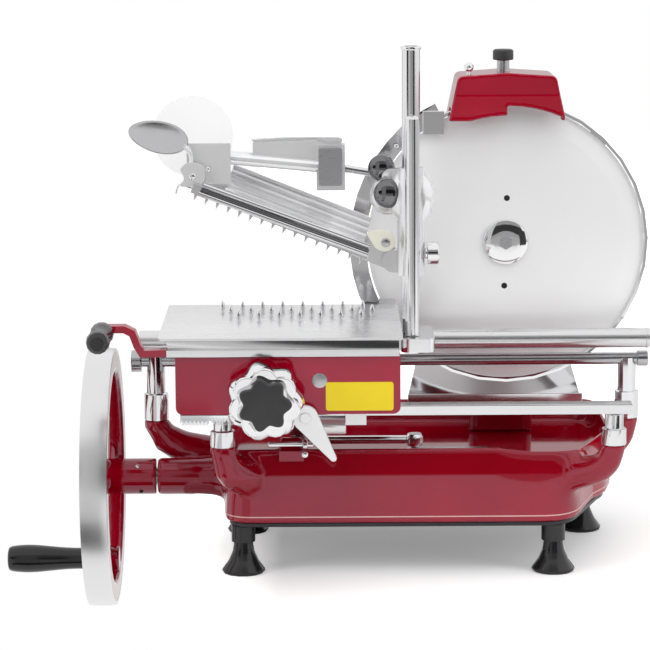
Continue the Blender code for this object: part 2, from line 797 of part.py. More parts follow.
def dome_profile(radius, low, high, rounding):
    """A solid pin's profile whose upper end is rounded like a cap."""
    profile = [(0, low), (radius, low), (radius, high - rounding)]
    for i in range(1, DOME_STEPS):
        angle = math.pi / 2 * i / DOME_STEPS
        profile.append((radius * math.cos(angle), high - rounding + rounding * math.sin(angle)))
    profile.append((0, high))
    return profile


def base_outline(inset):
    corners = [
        (BASE_LEFT_X, BASE_FRONT_Y),
        (BASE_FRONT_RIGHT_X, BASE_FRONT_Y),
        (BASE_RIGHT_X, BASE_FLARE_Y),
        (BASE_RIGHT_X, BASE_REAR_Y),
        (BASE_LEFT_X - BASE_LEFT_FLARE, BASE_REAR_Y),
    ]
    radii = [BASE_CORNER_RADIUS, BASE_FLARE_RADIUS, BASE_BEND_RADIUS, BASE_REAR_RADIUS, BASE_REAR_RADIUS]
    return rounded(inset_corners(corners, inset), [radius - inset for radius in radii])


def build_base(frame, red, black, steel):
    low = BASE_BOTTOM_Z
    top_inset = BASE_DRAFT + BASE_EDGE
    casting = loft(
        "base_casting",
        [base_outline(BASE_EDGE), base_outline(0), base_outline(BASE_DRAFT), base_outline(top_inset)],
        [low, low + BASE_EDGE, BASE_TOP_Z - BASE_EDGE, BASE_TOP_Z],
        red,
    )
    for tip_x, tip_y, root_x, root_y in ARM_PLACES:
        neck_z = ARM_TOP_Z - ARM_NECK
        path = [(tip_x, tip_y, ARM_TOP_Z)]
        for i in range(ARM_STEPS + 1):
            angle = math.pi / 2 * i / ARM_STEPS
            share = 1 - math.cos(angle)
            z = neck_z - (neck_z - ARM_ROOT_Z) * math.sin(angle)
            path.append((tip_x + (root_x - tip_x) * share, tip_y + (root_y - tip_y) * share, z))
        growth = (ARM_ROOT_RADIUS - ARM_TOP_RADIUS) / ARM_STEPS
        radii = [ARM_TOP_RADIUS] + [ARM_TOP_RADIUS + growth * i for i in range(ARM_STEPS + 1)]
        join(casting, swept("arm_form", path, radii, red))
    housing_left = HUB_RIGHT_X + HOUSING_GAP
    flare = HOUSING_FLARE_RADIUS - HOUSING_RADIUS
    flare_x = BASE_LEFT_X - BASE_LEFT_FLARE / 2
    length = flare_x + BASE_WALL - housing_left
    profile = [(HOUSING_RADIUS - BASE_EDGE, 0), (HOUSING_RADIUS, BASE_EDGE), (HOUSING_RADIUS, length - flare * 3)]
    for i in range(1, DOME_STEPS + 1):
        angle = math.pi / 2 * i / DOME_STEPS
        profile.append((HOUSING_RADIUS + flare * (1 - math.cos(angle)), length - flare * (3 - 3 * math.sin(angle))))
    housing = turned("housing_form", profile, "X", (housing_left, WHEEL_AXIS_Y, WHEEL_AXIS_Z), red)
    join(casting, housing)
    boss = rod("lock_boss_form", LOCK_RADIUS, "X", (LOCK_X - LOCK_LENGTH / 2, LOCK_Y, LOCK_Z), LOCK_LENGTH, red)
    join(casting, boss)
    recess_inset = BASE_DRAFT + BASE_WALL
    recess = loft(
        "recess_form",
        [base_outline(recess_inset + BASE_DRAFT), base_outline(recess_inset), base_outline(recess_inset - BASE_EDGE)],
        [DECK_Z, BASE_TOP_Z - BASE_EDGE, BASE_TOP_Z + OVERRUN],
        red,
    )
    cut(casting, recess)
    hollow = loft(
        "hollow_form",
        [base_outline(BASE_WALL), base_outline(BASE_WALL + BASE_DRAFT)],
        [low - OVERRUN, DECK_UNDERSIDE_Z],
        red,
    )
    cut(casting, hollow)
    bore = SHAFT_RADIUS + RUNNING_FIT + BUSH_WALL + FIT
    start = (housing_left - OVERRUN, WHEEL_AXIS_Y, WHEEL_AXIS_Z)
    cut(casting, rod("housing_bore", bore, "X", start, length + BASE_WALL + OVERRUN * 2, red, TURN_STEPS))
    for x, y in ((CRANK_X, CRANK_Y), (BLADE_X, RISER_Y)):
        hole = CRANK_SHAFT_RADIUS + RUNNING_FIT
        start = (x, y, DECK_UNDERSIDE_Z - OVERRUN)
        cut(casting, rod("deck_hole", hole, "Z", start, BASE_DECK_THICKNESS + OVERRUN * 2, red))
    start = (LOCK_X - LOCK_LENGTH, LOCK_Y, LOCK_Z)
    cut(casting, rod("lock_hole", LOCK_PIN_RADIUS + FIT, "X", start, LOCK_LENGTH * 2, red))
    plate = prism(
        "base_plate",
        base_outline(BASE_PLATE_INSET),
        FOOT_HEIGHT + FIT,
        FOOT_HEIGHT + FIT + BASE_PLATE_THICKNESS,
        "XY",
        black,
    )
    shaft_bore = SHAFT_RADIUS + RUNNING_FIT
    start = (housing_left + BASE_EDGE, WHEEL_AXIS_Y, WHEEL_AXIS_Z)
    bush = tube("shaft_bush", shaft_bore + BUSH_WALL, shaft_bore, "X", start, length - BASE_EDGE, steel, TURN_STEPS)
    carry(frame, casting, plate, bush)
    build_feet(frame, black)


def build_feet(frame, black):
    neck = FOOT_NECK_DIAMETER / 2
    boss = FOOT_BOSS_DIAMETER / 2
    flare = FOOT_DIAMETER / 2 - neck
    neck_z = FOOT_HEIGHT - FOOT_BOSS_HEIGHT
    profile = [(0, 0), (FOOT_DIAMETER / 2 - FOOT_EDGE, 0), (FOOT_DIAMETER / 2, FOOT_EDGE)]
    for i in range(FOOT_CURVE_STEPS + 1):
        share = i / FOOT_CURVE_STEPS
        profile.append((neck + flare * (1 - share) ** 2, FOOT_EDGE * 2 + (neck_z - FOOT_EDGE * 2) * share))
    profile += [(boss, neck_z), (boss, FOOT_HEIGHT), (0, FOOT_HEIGHT)]
    places = {
        "foot_front_left": (FOOT_LEFT_X, FOOT_FRONT_Y),
        "foot_front_right": (FOOT_FRONT_RIGHT_X, FOOT_FRONT_Y),
        "foot_rear_left": (FOOT_LEFT_X, FOOT_REAR_Y),
        "foot_rear_right": (FOOT_REAR_RIGHT_X, FOOT_REAR_Y),
    }
    for name, (x, y) in places.items():
        carry(frame, turned(name, profile, "Z", (x, y, 0), black, FOOT_STEPS))


def build_rails(frame, chrome, white):
    rail = rod("rear_rail", RAIL_RADIUS, "X", (RAIL_LEFT_X, RAIL_Y, RAIL_Z), RAIL_RIGHT_X - RAIL_LEFT_X, chrome)
    start = (RAIL_LEFT_X - RAIL_CAP_OVERHANG, RAIL_Y, RAIL_Z)
    join(rail, rod("rail_collar", RAIL_CAP_RADIUS, "X", start, RAIL_CAP_LENGTH, chrome, TURN_STEPS, EDGE))
    start = (RAIL_RIGHT_X - RAIL_END_LENGTH * 0.45, RAIL_Y, RAIL_Z)
    join(rail, rod("rail_tip", RAIL_END_RADIUS, "X", start, RAIL_END_LENGTH, white, TURN_STEPS, EDGE))
    bore = RAIL_RADIUS + FIT
    profile = post_profile(ARM_TOP_Z + FIT, REAR_SLEEVE_HEIGHT, RAIL_Z + POST_HEAD_RISE)
    for name, x in (("rear_post_left", REAR_POST_LEFT_X), ("rear_post_right", REAR_POST_RIGHT_X)):
        post = turned(name, profile, "Z", (x, RAIL_Y, 0), chrome, POST_STEPS)
        start = (x - POST_SLEEVE_RADIUS * 2, RAIL_Y, RAIL_Z)
        cut(post, rod("rail_bore", bore, "X", start, POST_SLEEVE_RADIUS * 4, chrome))
        carry(frame, post)
    bar_bottom = BAR_TOP_Z - BAR_HEIGHT
    outline = rounded_box((BAR_Y - BAR_DEPTH / 2, bar_bottom), (BAR_Y + BAR_DEPTH / 2, BAR_TOP_Z), EDGE, 1)
    bar = prism("front_bar", outline, BAR_LEFT_X, BAR_RIGHT_X, "YZ", chrome)
    carry(frame, rail, bar)
    profile = post_profile(ARM_TOP_Z + FIT, FRONT_SLEEVE_HEIGHT, bar_bottom - FIT)
    for name, x in (("front_post_left", FRONT_POST_LEFT_X), ("front_post_right", FRONT_POST_RIGHT_X)):
        carry(frame, turned(name, profile, "Z", (x, BAR_Y, 0), chrome, POST_STEPS))


def post_profile(low, sleeve_height, high):
    """A turned post: a collar, a hexagonal sleeve's height of full width, then the plain neck."""
    return [
        (0, low),
        (POST_SLEEVE_RADIUS, low),
        (POST_SLEEVE_RADIUS, low + sleeve_height),
        (POST_RADIUS, low + sleeve_height + EDGE),
        (POST_RADIUS, high - EDGE),
        (POST_RADIUS - EDGE, high),
        (0, high),
    ]


def build_lock_pin(parent, chrome):
    start = (LOCK_X - LOCK_LENGTH, LOCK_Y, LOCK_Z)
    pin = rod("lock_pin", LOCK_PIN_RADIUS, "X", start, LOCK_LENGTH * 2, chrome, SMALL_STEPS, EDGE)
    head_x = LOCK_X + LOCK_LENGTH / 2 + FIT
    head = rod("lock_head", LOCK_HEAD_RADIUS, "X", (head_x, LOCK_Y, LOCK_Z), LOCK_HEAD_LENGTH, chrome, SMALL_STEPS, EDGE)
    carry(parent, join(pin, head))


def build_blade_support(frame, red, chrome):
    low = DECK_Z + FIT
    rear_y = SUPPORT_FRONT_Y + SUPPORT_DEPTH
    heights = [low, BLADE_Z - SUPPORT_BOSS_RADIUS, BLADE_Z, BLADE_Z + SUPPORT_CROWN]
    halves = [SUPPORT_WIDTH / 2, SUPPORT_TOP_WIDTH / 2, SUPPORT_TOP_WIDTH / 2, SUPPORT_TOP_WIDTH / 2 - SUPPORT_WALL]

    def outline(half, inset):
        lower = (BLADE_X - half + inset, SUPPORT_FRONT_Y + inset)
        upper = (BLADE_X + half - inset, rear_y - inset)
        return rounded_box(lower, upper, SUPPORT_CORNER - inset / 2, 3)

    support = loft("blade_support", [outline(half, 0) for half in halves], heights, red)
    start = (BLADE_X, SUPPORT_BOSS_FRONT_Y, BLADE_Z)
    boss_length = SUPPORT_FRONT_Y + SUPPORT_WALL - SUPPORT_BOSS_FRONT_Y
    profile = [(SUPPORT_BOSS_RADIUS - EDGE, 0), (SUPPORT_BOSS_RADIUS, EDGE)]
    profile += [(SUPPORT_BOSS_RADIUS, boss_length * 0.55), (SUPPORT_TOP_WIDTH / 2 - EDGE, boss_length)]
    join(support, turned("boss_form", profile, "Y", start, red))
    arm_top = COVER_CEILING_Z - FIT
    arm_front = STONE_ARM_FRONT_Y
    arm_low = (BLADE_X - STONE_ARM_WIDTH / 2, arm_front, BLADE_Z)
    join(support, block("stone_arm_form", arm_low, (arm_low[0] + STONE_ARM_WIDTH, arm_front + STONE_ARM_DEPTH, arm_top), red))
    shelf_top = TRAY_Z - TRAY_SHEET / 2 - FIT
    shelf_low = (TRAY_NUT_X - SHELF_WIDTH / 2, TRAY_FRONT_Y, shelf_top - SHELF_THICKNESS)
    shelf_high = (TRAY_NUT_X + SHELF_WIDTH / 2, SUPPORT_FRONT_Y + SUPPORT_WALL / 2, shelf_top)
    join(support, block("shelf_form", shelf_low, shelf_high, red))
    inner = [outline(half, SUPPORT_WALL) for half in halves[:2]]
    inner.append(outline(halves[2], SUPPORT_WALL))
    room = loft("support_hollow", inner, [low - OVERRUN, heights[1], BLADE_Z + BLADE_ROOM], red)
    cut(support, room)
    bore = SPINDLE_RADIUS + RUNNING_FIT
    start = (BLADE_X, SUPPORT_BOSS_FRONT_Y - OVERRUN, BLADE_Z)
    cut(support, rod("spindle_bore", bore, "Y", start, SUPPORT_FRONT_Y, red, TURN_STEPS))
    nut_start = (TRAY_NUT_X, TRAY_NUT_Y, shelf_top - SHELF_THICKNESS - TRAY_NUT_HEIGHT)
    join(support, rod("tray_nut", TRAY_NUT_RADIUS, "Z", nut_start, TRAY_NUT_HEIGHT + EDGE, chrome, SMALL_STEPS))
    hex_start = (TRAY_NUT_X, TRAY_NUT_Y, nut_start[2] - TRAY_HEX_HEIGHT)
    join(support, rod("tray_hex", TRAY_NUT_RADIUS / 2, "Z", hex_start, TRAY_HEX_HEIGHT + EDGE, chrome, HEX_STEPS))
    carry(frame, support)


def ring_outline(centre, inner, outer, start, end, steps):
    return arc(centre, outer, start, end, steps) + arc(centre, inner, end, start, steps)


def build_guards(frame, chrome):
    centre = (BLADE_X, BLADE_Z)
    outer = BLADE_GUARD_RADIUS + GUARD_RING_WALL
    outline = ring_outline(centre, BLADE_GUARD_RADIUS, outer, GUARD_RING_START, GUARD_RING_END, GUARD_RING_STEPS)
    ring = prism("ring_guard", outline, GUARD_RING_FRONT_Y, GUARD_RING_FRONT_Y + GUARD_RING_DEPTH, "XZ", chrome)
    hub_front = SUPPORT_BOSS_FRONT_Y - FIT - GUARD_ARM_THICKNESS
    hub = rod("guard_hub", SUPPORT_BOSS_RADIUS - EDGE, "Y", (BLADE_X, hub_front, BLADE_Z), GUARD_ARM_THICKNESS, chrome, TURN_STEPS)
    middle = BLADE_GUARD_RADIUS + GUARD_RING_WALL / 2
    for angle in GUARD_ARM_ANGLES:
        along = Vector((math.cos(angle), math.sin(angle)))
        across = Vector((-along.y, along.x)) * GUARD_ARM_WIDTH / 2
        tip = Vector(centre) + along * middle
        corners = [Vector(centre) - across * 1.6, tip - across, tip + across, Vector(centre) + across * 1.6]
        spoke = prism("guard_arm", [tuple(c) for c in corners], hub_front, hub_front + GUARD_ARM_THICKNESS, "XZ", chrome)
        join(hub, spoke)
    hole = SPINDLE_RADIUS + RUNNING_FIT
    start = (BLADE_X, hub_front - OVERRUN, BLADE_Z)
    cut(hub, rod("guard_hub_bore", hole, "Y", start, GUARD_ARM_THICKNESS + OVERRUN * 2, chrome, TURN_STEPS))
    join(ring, hub)
    inner = BLADE_RADIUS + GUARD_CLEARANCE
    outline = ring_outline(centre, inner, GUARD_PLATE_RADIUS, GUARD_PLATE_START, GUARD_PLATE_END, GUARD_PLATE_STEPS)
    plate_rear = GUARD_RING_FRONT_Y - FIT
    plate_front = plate_rear - GUARD_PLATE_THICKNESS
    plate = prism("guard_plate", outline, plate_front, plate_rear, "XZ", chrome)
    low = (GUARD_BRACKET_X, plate_front - GUARD_BRACKET_DEPTH, GUARD_BRACKET_Z)
    high = (GUARD_BRACKET_X + GUARD_BRACKET_WIDTH, plate_rear, GUARD_BRACKET_Z + GUARD_BRACKET_HEIGHT)
    join(plate, block("guard_bracket", low, high, chrome))
    carry(frame, ring, plate)


def build_tray(frame, chrome):
    rear_y = TRAY_FRONT_Y + TRAY_TROUGH_DEPTH
    top_y = SUPPORT_FRONT_Y - FIT - TRAY_SHEET
    path = [
        (TRAY_FRONT_Y, TRAY_Z + TRAY_LIP),
        (TRAY_FRONT_Y, TRAY_Z),
        (rear_y, TRAY_Z),
        (top_y, TRAY_Z + TRAY_RISE),
    ]
    outline = ribbon(path, TRAY_SHEET)
    count = len(path)
    narrowing = [0, 0, 0, TRAY_TOP_NARROWING]
    rings = []
    for i in range(count):
        near = outline[i]
        far = outline[2 * count - 1 - i]
        left = TRAY_LEFT_X + narrowing[i]
        right = TRAY_RIGHT_X - narrowing[i]
        rings.append([(left, *near), (right, *near), (right, *far), (left, *far)])
    carry(frame, object_from("receiving_tray", rings_mesh(rings), chrome))


def build_flywheel(wheel, grip_body, red, steel, black):
    half = WHEEL_WIDTH / 2
    inner = WHEEL_RADIUS - WHEEL_RIM_DEPTH
    profile = [
        (inner, -half + EDGE * 3),
        (inner + EDGE * 3, -half),
        (WHEEL_RADIUS - WHEEL_CROWN * 2, -half),
        (WHEEL_RADIUS - WHEEL_CROWN / 2, -half + WHEEL_CROWN * 2),
        (WHEEL_RADIUS, 0),
        (WHEEL_RADIUS - WHEEL_CROWN / 2, half - WHEEL_CROWN * 2),
        (WHEEL_RADIUS - WHEEL_CROWN * 2, half),
        (inner + EDGE * 3, half),
        (inner, half - EDGE * 3),
    ]
    centre = (WHEEL_CENTRE_X, WHEEL_AXIS_Y, WHEEL_AXIS_Z)
    flywheel = turned("flywheel", profile, "X", centre, red, WHEEL_STEPS, loop=True)
    hub_length = HUB_RIGHT_X - WHEEL_LEFT_X
    hub_profile = [
        (HUB_RADIUS * 0.8, -HUB_NOSE),
        (HUB_RADIUS, 0),
        (HUB_RADIUS, hub_length - EDGE),
        (HUB_RADIUS - EDGE, hub_length),
    ]
    join(flywheel, turned("hub_form", hub_profile, "X", (WHEEL_LEFT_X, WHEEL_AXIS_Y, WHEEL_AXIS_Z), red))
    for i in range(WHEEL_SPOKES):
        turn = CRANK_PIN_ANGLE - SPOKE_SWEEP * 0.85 + 2 * math.pi * i / WHEEL_SPOKES
        path = []
        radii = []
        for k in range(SPOKE_STEPS + 1):
            share = k / SPOKE_STEPS
            reach = HUB_RADIUS * 0.6 + (inner + EDGE * 4 - HUB_RADIUS * 0.6) * share
            angle = turn + SPOKE_SWEEP * share
            y = WHEEL_AXIS_Y + reach * math.sin(angle)
            z = WHEEL_AXIS_Z - reach * math.cos(angle)
            path.append((WHEEL_CENTRE_X, y, z))
            radii.append(SPOKE_WIDTH / 2 * (1 - SPOKE_WAIST_SHARE * math.sin(math.pi * share)))
        spoke = swept_flat("spoke_form", path, radii, SPOKE_THICKNESS / 2, red)
        join(flywheel, spoke)
    boss_start = (WHEEL_LEFT_X + EDGE, CRANK_PIN_Y, CRANK_PIN_Z)
    join(flywheel, rod("pin_boss", PIN_BOSS_RADIUS, "X", boss_start, WHEEL_WIDTH - EDGE * 2, red, TURN_STEPS, EDGE))
    grip_right = WHEEL_LEFT_X - GRIP_COLLAR_LENGTH
    grip_left = grip_right - GRIP_LENGTH
    pin_start = (grip_left + EDGE, CRANK_PIN_Y, CRANK_PIN_Z)
    join(flywheel, rod("crank_pin", GRIP_PIN_RADIUS, "X", pin_start, GRIP_LENGTH + WHEEL_WIDTH / 2, steel))
    bore_start = (WHEEL_LEFT_X - HUB_NOSE * 2, WHEEL_AXIS_Y, WHEEL_AXIS_Z)
    cut(flywheel, rod("wheel_bore", SHAFT_RADIUS + FIT, "X", bore_start, hub_length + HUB_NOSE * 4, red))
    profile = []
    for share, radius in GRIP_PROFILE_SHARES:
        profile.append((GRIP_WAIST_RADIUS + (GRIP_BULB_RADIUS - GRIP_WAIST_RADIUS) * radius, GRIP_LENGTH * share))
    bore = GRIP_PIN_RADIUS + FIT
    profile += [(bore, GRIP_LENGTH), (bore, 0)]
    grip = turned("crank_grip", profile, "X", (grip_left, CRANK_PIN_Y, CRANK_PIN_Z), black, GRIP_STEPS, loop=True)
    carry(grip_body, grip)
    carry(wheel, flywheel)


def swept_flat(name, points, half_widths, half_thickness, finish):
    """A flat-sided bar along points in a plane across X, with an oval section."""
    points = [Vector(point) for point in points]
    rings = []
    for i, point in enumerate(points):
        ahead = (points[min(i + 1, len(points) - 1)] - points[max(i - 1, 0)]).normalized()
        across = Vector((1, 0, 0)).cross(ahead)
        ring = []
        for k in range(SPOKE_SIDES):
            angle = 2 * math.pi * k / SPOKE_SIDES
            offset = across * math.cos(angle) * half_widths[i]
            offset.x = math.sin(angle) * half_thickness
            ring.append(point + offset)
        rings.append(ring)
    return object_from(name, rings_mesh(rings), finish)


def build_drive(wheel, crank, cross, riser, spindle, steel):
    axle = (WHEEL_AXIS_Y, WHEEL_AXIS_Z)
    left = WHEEL_LEFT_X - HUB_NOSE * 2
    pinion_x = CRANK_X - GEAR_RADIUS
    shaft = rod("drive_shaft", SHAFT_RADIUS, "X", (left, *axle), pinion_x - left, steel, SMALL_STEPS)
    start = (pinion_x - EDGE, *axle)
    join(shaft, rod("shaft_tail", SHAFT_TAIL_RADIUS, "X", start, BLADE_X - GEAR_RADIUS - start[0], steel, SCREW_STEPS))
    for x in (CRANK_X, BLADE_X):
        join(shaft, bevel_gear("pinion", "X", (x, *axle), -1, GEAR_RADIUS, GEAR_RADIUS, steel))
    carry(wheel, shaft)
    gear = bevel_gear("crank_gear", "Z", (CRANK_X, *axle), 1, GEAR_RADIUS, GEAR_RADIUS, steel)
    start_z = WHEEL_AXIS_Z + GEAR_RADIUS - EDGE
    arm_top = CRANK_ARM_Z + CRANK_ARM_THICKNESS
    join(gear, rod("crank_stem", CRANK_SHAFT_RADIUS, "Z", (CRANK_X, CRANK_Y, start_z), arm_top + EDGE - start_z, steel))
    outline = arc((CRANK_X, CRANK_Y), CRANK_ARM_WIDTH / 2, -math.pi / 2, math.pi / 2, ARM_SIDES)
    outline += arc((CRANK_X - CRANK_THROW, CRANK_Y), CRANK_ARM_WIDTH / 2, math.pi / 2, math.pi * 3 / 2, ARM_SIDES)
    arm = prism("crank_arm", outline, CRANK_ARM_Z, arm_top, "XY", steel)
    hole_start = (CRANK_X, CRANK_Y, CRANK_ARM_Z - OVERRUN)
    cut(arm, rod("arm_bore", CRANK_SHAFT_RADIUS + FIT, "Z", hole_start, CRANK_ARM_THICKNESS + OVERRUN * 2, steel))
    stud_top = CON_ROD_Z - EYE_HEIGHT / 2 - FIT
    stud_start = (CRANK_X - CRANK_THROW, CRANK_Y, arm_top - EDGE)
    join(arm, rod("crank_stud", LINK_RADIUS, "Z", stud_start, stud_top - stud_start[2], steel))
    carry(crank, gear, arm)
    first = bevel_gear("cross_shaft", "Y", (BLADE_X, *axle), 1, GEAR_RADIUS, GEAR_RADIUS, steel)
    second = bevel_gear("cross_pinion", "Y", (BLADE_X, RISER_Y, WHEEL_AXIS_Z), -1, GEAR_RADIUS, GEAR_RADIUS, steel)
    start = (BLADE_X, WHEEL_AXIS_Y + GEAR_RADIUS - EDGE, WHEEL_AXIS_Z)
    length = RISER_Y - WHEEL_AXIS_Y - GEAR_RADIUS * 2 + EDGE * 2
    join(first, rod("cross_stem", CROSS_RADIUS, "Y", start, length, steel))
    join(first, second)
    carry(cross, first)
    foot_gear = bevel_gear("riser_shaft", "Z", (BLADE_X, RISER_Y, WHEEL_AXIS_Z), 1, GEAR_RADIUS, GEAR_RADIUS, steel)
    apex = (BLADE_X, RISER_Y, BLADE_Z)
    head_gear = bevel_gear("head_gear", "Z", apex, -1, SPINDLE_GEAR_RADIUS * 2, SPINDLE_GEAR_RADIUS, steel)
    start = (BLADE_X, RISER_Y, start_z)
    join(foot_gear, rod("riser_stem", CRANK_SHAFT_RADIUS, "Z", start, BLADE_Z - SPINDLE_GEAR_RADIUS + EDGE - start_z, steel))
    join(foot_gear, head_gear)
    carry(riser, foot_gear)
    flange_y = BLADE_THICKNESS + FIT
    gear_back = RISER_Y - SPINDLE_GEAR_RADIUS * 2 + EDGE
    profile = [
        (0, -HUB_NOSE_DEPTH),
        (BLADE_BORE_RADIUS - FIT, -HUB_NOSE_DEPTH),
        (BLADE_BORE_RADIUS - FIT, flange_y),
        (SPINDLE_FLANGE_RADIUS, flange_y),
        (SPINDLE_FLANGE_RADIUS, flange_y + SPINDLE_FLANGE_THICKNESS),
        (SPINDLE_RADIUS, flange_y + SPINDLE_FLANGE_THICKNESS),
        (SPINDLE_RADIUS, SUPPORT_FRONT_Y),
        (SPINDLE_GEAR_RADIUS * 0.6, SUPPORT_FRONT_Y),
        (SPINDLE_GEAR_RADIUS * 0.6, gear_back),
        (0, gear_back),
    ]
    axle_piece = turned("blade_spindle", profile, "Y", (BLADE_X, 0, BLADE_Z), steel)
    join(axle_piece, bevel_gear("spindle_pinion", "Y", apex, -1, SPINDLE_GEAR_RADIUS, SPINDLE_GEAR_RADIUS * 2, steel))
    carry(spindle, axle_piece)


def build_blade(spindle, chrome):
    edge_y = BLADE_THICKNESS - BLADE_EDGE
    profile = [
        (BLADE_BORE_RADIUS, 0),
        (BLADE_RADIUS - BLADE_BEVEL, 0),
        (BLADE_RADIUS, edge_y),
        (BLADE_RADIUS, BLADE_THICKNESS),
        (BLADE_BORE_RADIUS, BLADE_THICKNESS),
    ]
    blade = turned("blade", profile, "Y", (BLADE_X, 0, BLADE_Z), chrome, BLADE_STEPS, loop=True)
    for side in (-1, 1):
        start = (BLADE_X, -OVERRUN, BLADE_Z + side * BLADE_HOLE_CIRCLE)
        cut(blade, rod("blade_hole", BLADE_HOLE_RADIUS, "Y", start, BLADE_THICKNESS + OVERRUN * 2, chrome))
    cap_y = -FIT - HUB_CAP_HEIGHT
    profile = [
        (0, 0),
        (HUB_CAP_RADIUS * 0.72, 0),
        (HUB_CAP_RADIUS - EDGE, EDGE * 2),
        (HUB_CAP_RADIUS, HUB_CAP_HEIGHT - EDGE),
        (HUB_CAP_RADIUS, HUB_CAP_HEIGHT),
        (0, HUB_CAP_HEIGHT),
    ]
    cap = turned("hub_cap", profile, "Y", (BLADE_X, cap_y, BLADE_Z), chrome)
    start = (BLADE_X, cap_y - OVERRUN, BLADE_Z)
    cut(cap, rod("hub_socket", HUB_SOCKET_RADIUS, "Y", start, HUB_SOCKET_DEPTH + OVERRUN, chrome, HEX_STEPS))
    carry(spindle, blade, cap)


def cover_outline():
    """The sharpener cover's front view, narrowing upward to softly rounded shoulders."""
    half_low = COVER_BOTTOM_WIDTH / 2
    half_top = COVER_TOP_WIDTH / 2
    shoulder = COVER_TOP_Z - COVER_CROWN
    corners = [
        (BLADE_X - half_low, COVER_BOTTOM_Z),
        (BLADE_X + half_low, COVER_BOTTOM_Z),
        (BLADE_X + half_top, shoulder),
        (BLADE_X, COVER_TOP_Z),
        (BLADE_X - half_top, shoulder),
    ]
    return rounded(corners, [EDGE, EDGE, COVER_CORNER, COVER_CORNER * 4, COVER_CORNER], 3)


def cover_room_outline():
    half_low = COVER_BOTTOM_WIDTH / 2 - COVER_WALL
    half_top = COVER_TOP_WIDTH / 2 - COVER_WALL
    low = COVER_BOTTOM_Z - OVERRUN
    corners = [
        (BLADE_X - half_low, low),
        (BLADE_X + half_low, low),
        (BLADE_X + half_top, COVER_CEILING_Z),
        (BLADE_X - half_top, COVER_CEILING_Z),
    ]
    return rounded(corners, [EDGE] * 4, 1)


def build_sharpener(frame, holder, stone_bodies, pin_body, red, black, steel, white):
    rear_y = COVER_FRONT_Y + COVER_DEPTH
    cover = prism("sharpener_cover", cover_outline(), COVER_FRONT_Y, rear_y, "XZ", red)
    inside = prism("cover_room", cover_room_outline(), COVER_FRONT_Y + COVER_WALL, rear_y - COVER_WALL, "XZ", red)
    cut(cover, inside)
    start = (BLADE_X, COVER_SLOT_FRONT_Y, BLADE_Z)
    slot_length = COVER_SLOT_REAR_Y - COVER_SLOT_FRONT_Y
    cut(cover, rod("blade_slot", COVER_SLOT_RADIUS, "Y", start, slot_length, red, BLADE_STEPS))
    front = COVER_FRONT_Y - OVERRUN
    depth = COVER_WALL + OVERRUN * 2
    for start_angle, radius in ((math.pi / 2, COVER_LEFT_ARC), (0, COVER_RIGHT_ARC)):
        outline = [(BLADE_X, BLADE_Z), *arc((BLADE_X, BLADE_Z), radius, start_angle, start_angle + math.pi / 2, 24)]
        cut(cover, prism("front_arc", outline, front, front + depth, "XZ", red))
    hole = KNOB_STEM_RADIUS + FIT
    start = (KNOB_X, KNOB_Y, COVER_TOP_Z - COVER_WALL * 2)
    cut(cover, rod("knob_hole", hole, "Z", start, COVER_WALL * 4, red))
    start = (PIN_X, PIN_Y, COVER_TOP_Z - COVER_WALL * 4)
    cut(cover, rod("pin_hole", PIN_STEM_RADIUS + FIT, "Z", start, COVER_WALL * 6, red, SCREW_STEPS))
    carry(frame, cover)
    carrier_rear = STONE_ARM_FRONT_Y - RUNNING_FIT
    carrier_front = carrier_rear - CARRIER_THICKNESS
    half = STONE_SPACING / 2 + STONE_RADIUS / 2
    low = (BLADE_X - half, carrier_front, STONE_Z - CARRIER_HEIGHT / 2)
    carrier = block("stone_carrier", low, (BLADE_X + half, carrier_rear, STONE_Z + CARRIER_HEIGHT / 2), steel)
    stem_low = STONE_Z + CARRIER_HEIGHT / 2 - EDGE
    stem_top = COVER_TOP_Z + KNOB_STEM_HEIGHT
    join(carrier, rod("knob_stem", KNOB_STEM_RADIUS, "Z", (KNOB_X, KNOB_Y, stem_low), stem_top - stem_low, steel))
    knob_low = stem_top + FIT
    profile = [
        (0, 0),
        (KNOB_CAP_RADIUS - EDGE, 0),
        (KNOB_CAP_RADIUS, EDGE),
        (KNOB_CAP_RADIUS, KNOB_CAP_HEIGHT - EDGE * 3),
        (KNOB_CAP_RADIUS - EDGE, KNOB_CAP_HEIGHT - EDGE),
        (KNOB_CAP_RADIUS - EDGE * 3, KNOB_CAP_HEIGHT),
        (0, KNOB_CAP_HEIGHT),
    ]
    knob = turned("sharpener_knob", profile, "Z", (KNOB_X, KNOB_Y, knob_low), black)
    carry(holder, carrier, knob)
    stone_front = carrier_front - FIT - STONE_THICKNESS
    for name, side, stone_body in zip(("grinding_stone", "honing_stone"), (-1, 1), stone_bodies):
        start = (BLADE_X + side * STONE_SPACING / 2, stone_front, STONE_Z)
        carry(stone_body, rod(name, STONE_RADIUS, "Y", start, STONE_THICKNESS, white, SMALL_STEPS, EDGE))
    ball_low = COVER_TOP_Z - COVER_CROWN * 2
    stem_low = COVER_TOP_Z - COVER_WALL * 3
    pin = rod("ball_pin", PIN_STEM_RADIUS, "Z", (PIN_X, PIN_Y, stem_low), PIN_BALL_Z - stem_low, steel, SCREW_STEPS)
    ball = []
    for i in range(DOME_STEPS * 2 + 1):
        angle = math.pi * i / (DOME_STEPS * 2)
        radius = 0 if i in (0, DOME_STEPS * 2) else PIN_BALL_RADIUS * math.sin(angle)
        ball.append((radius, -PIN_BALL_RADIUS * math.cos(angle)))
    join(pin, turned("pin_ball", ball, "Z", (PIN_X, PIN_Y, PIN_BALL_Z), steel, SMALL_STEPS))
    carry(pin_body, pin)


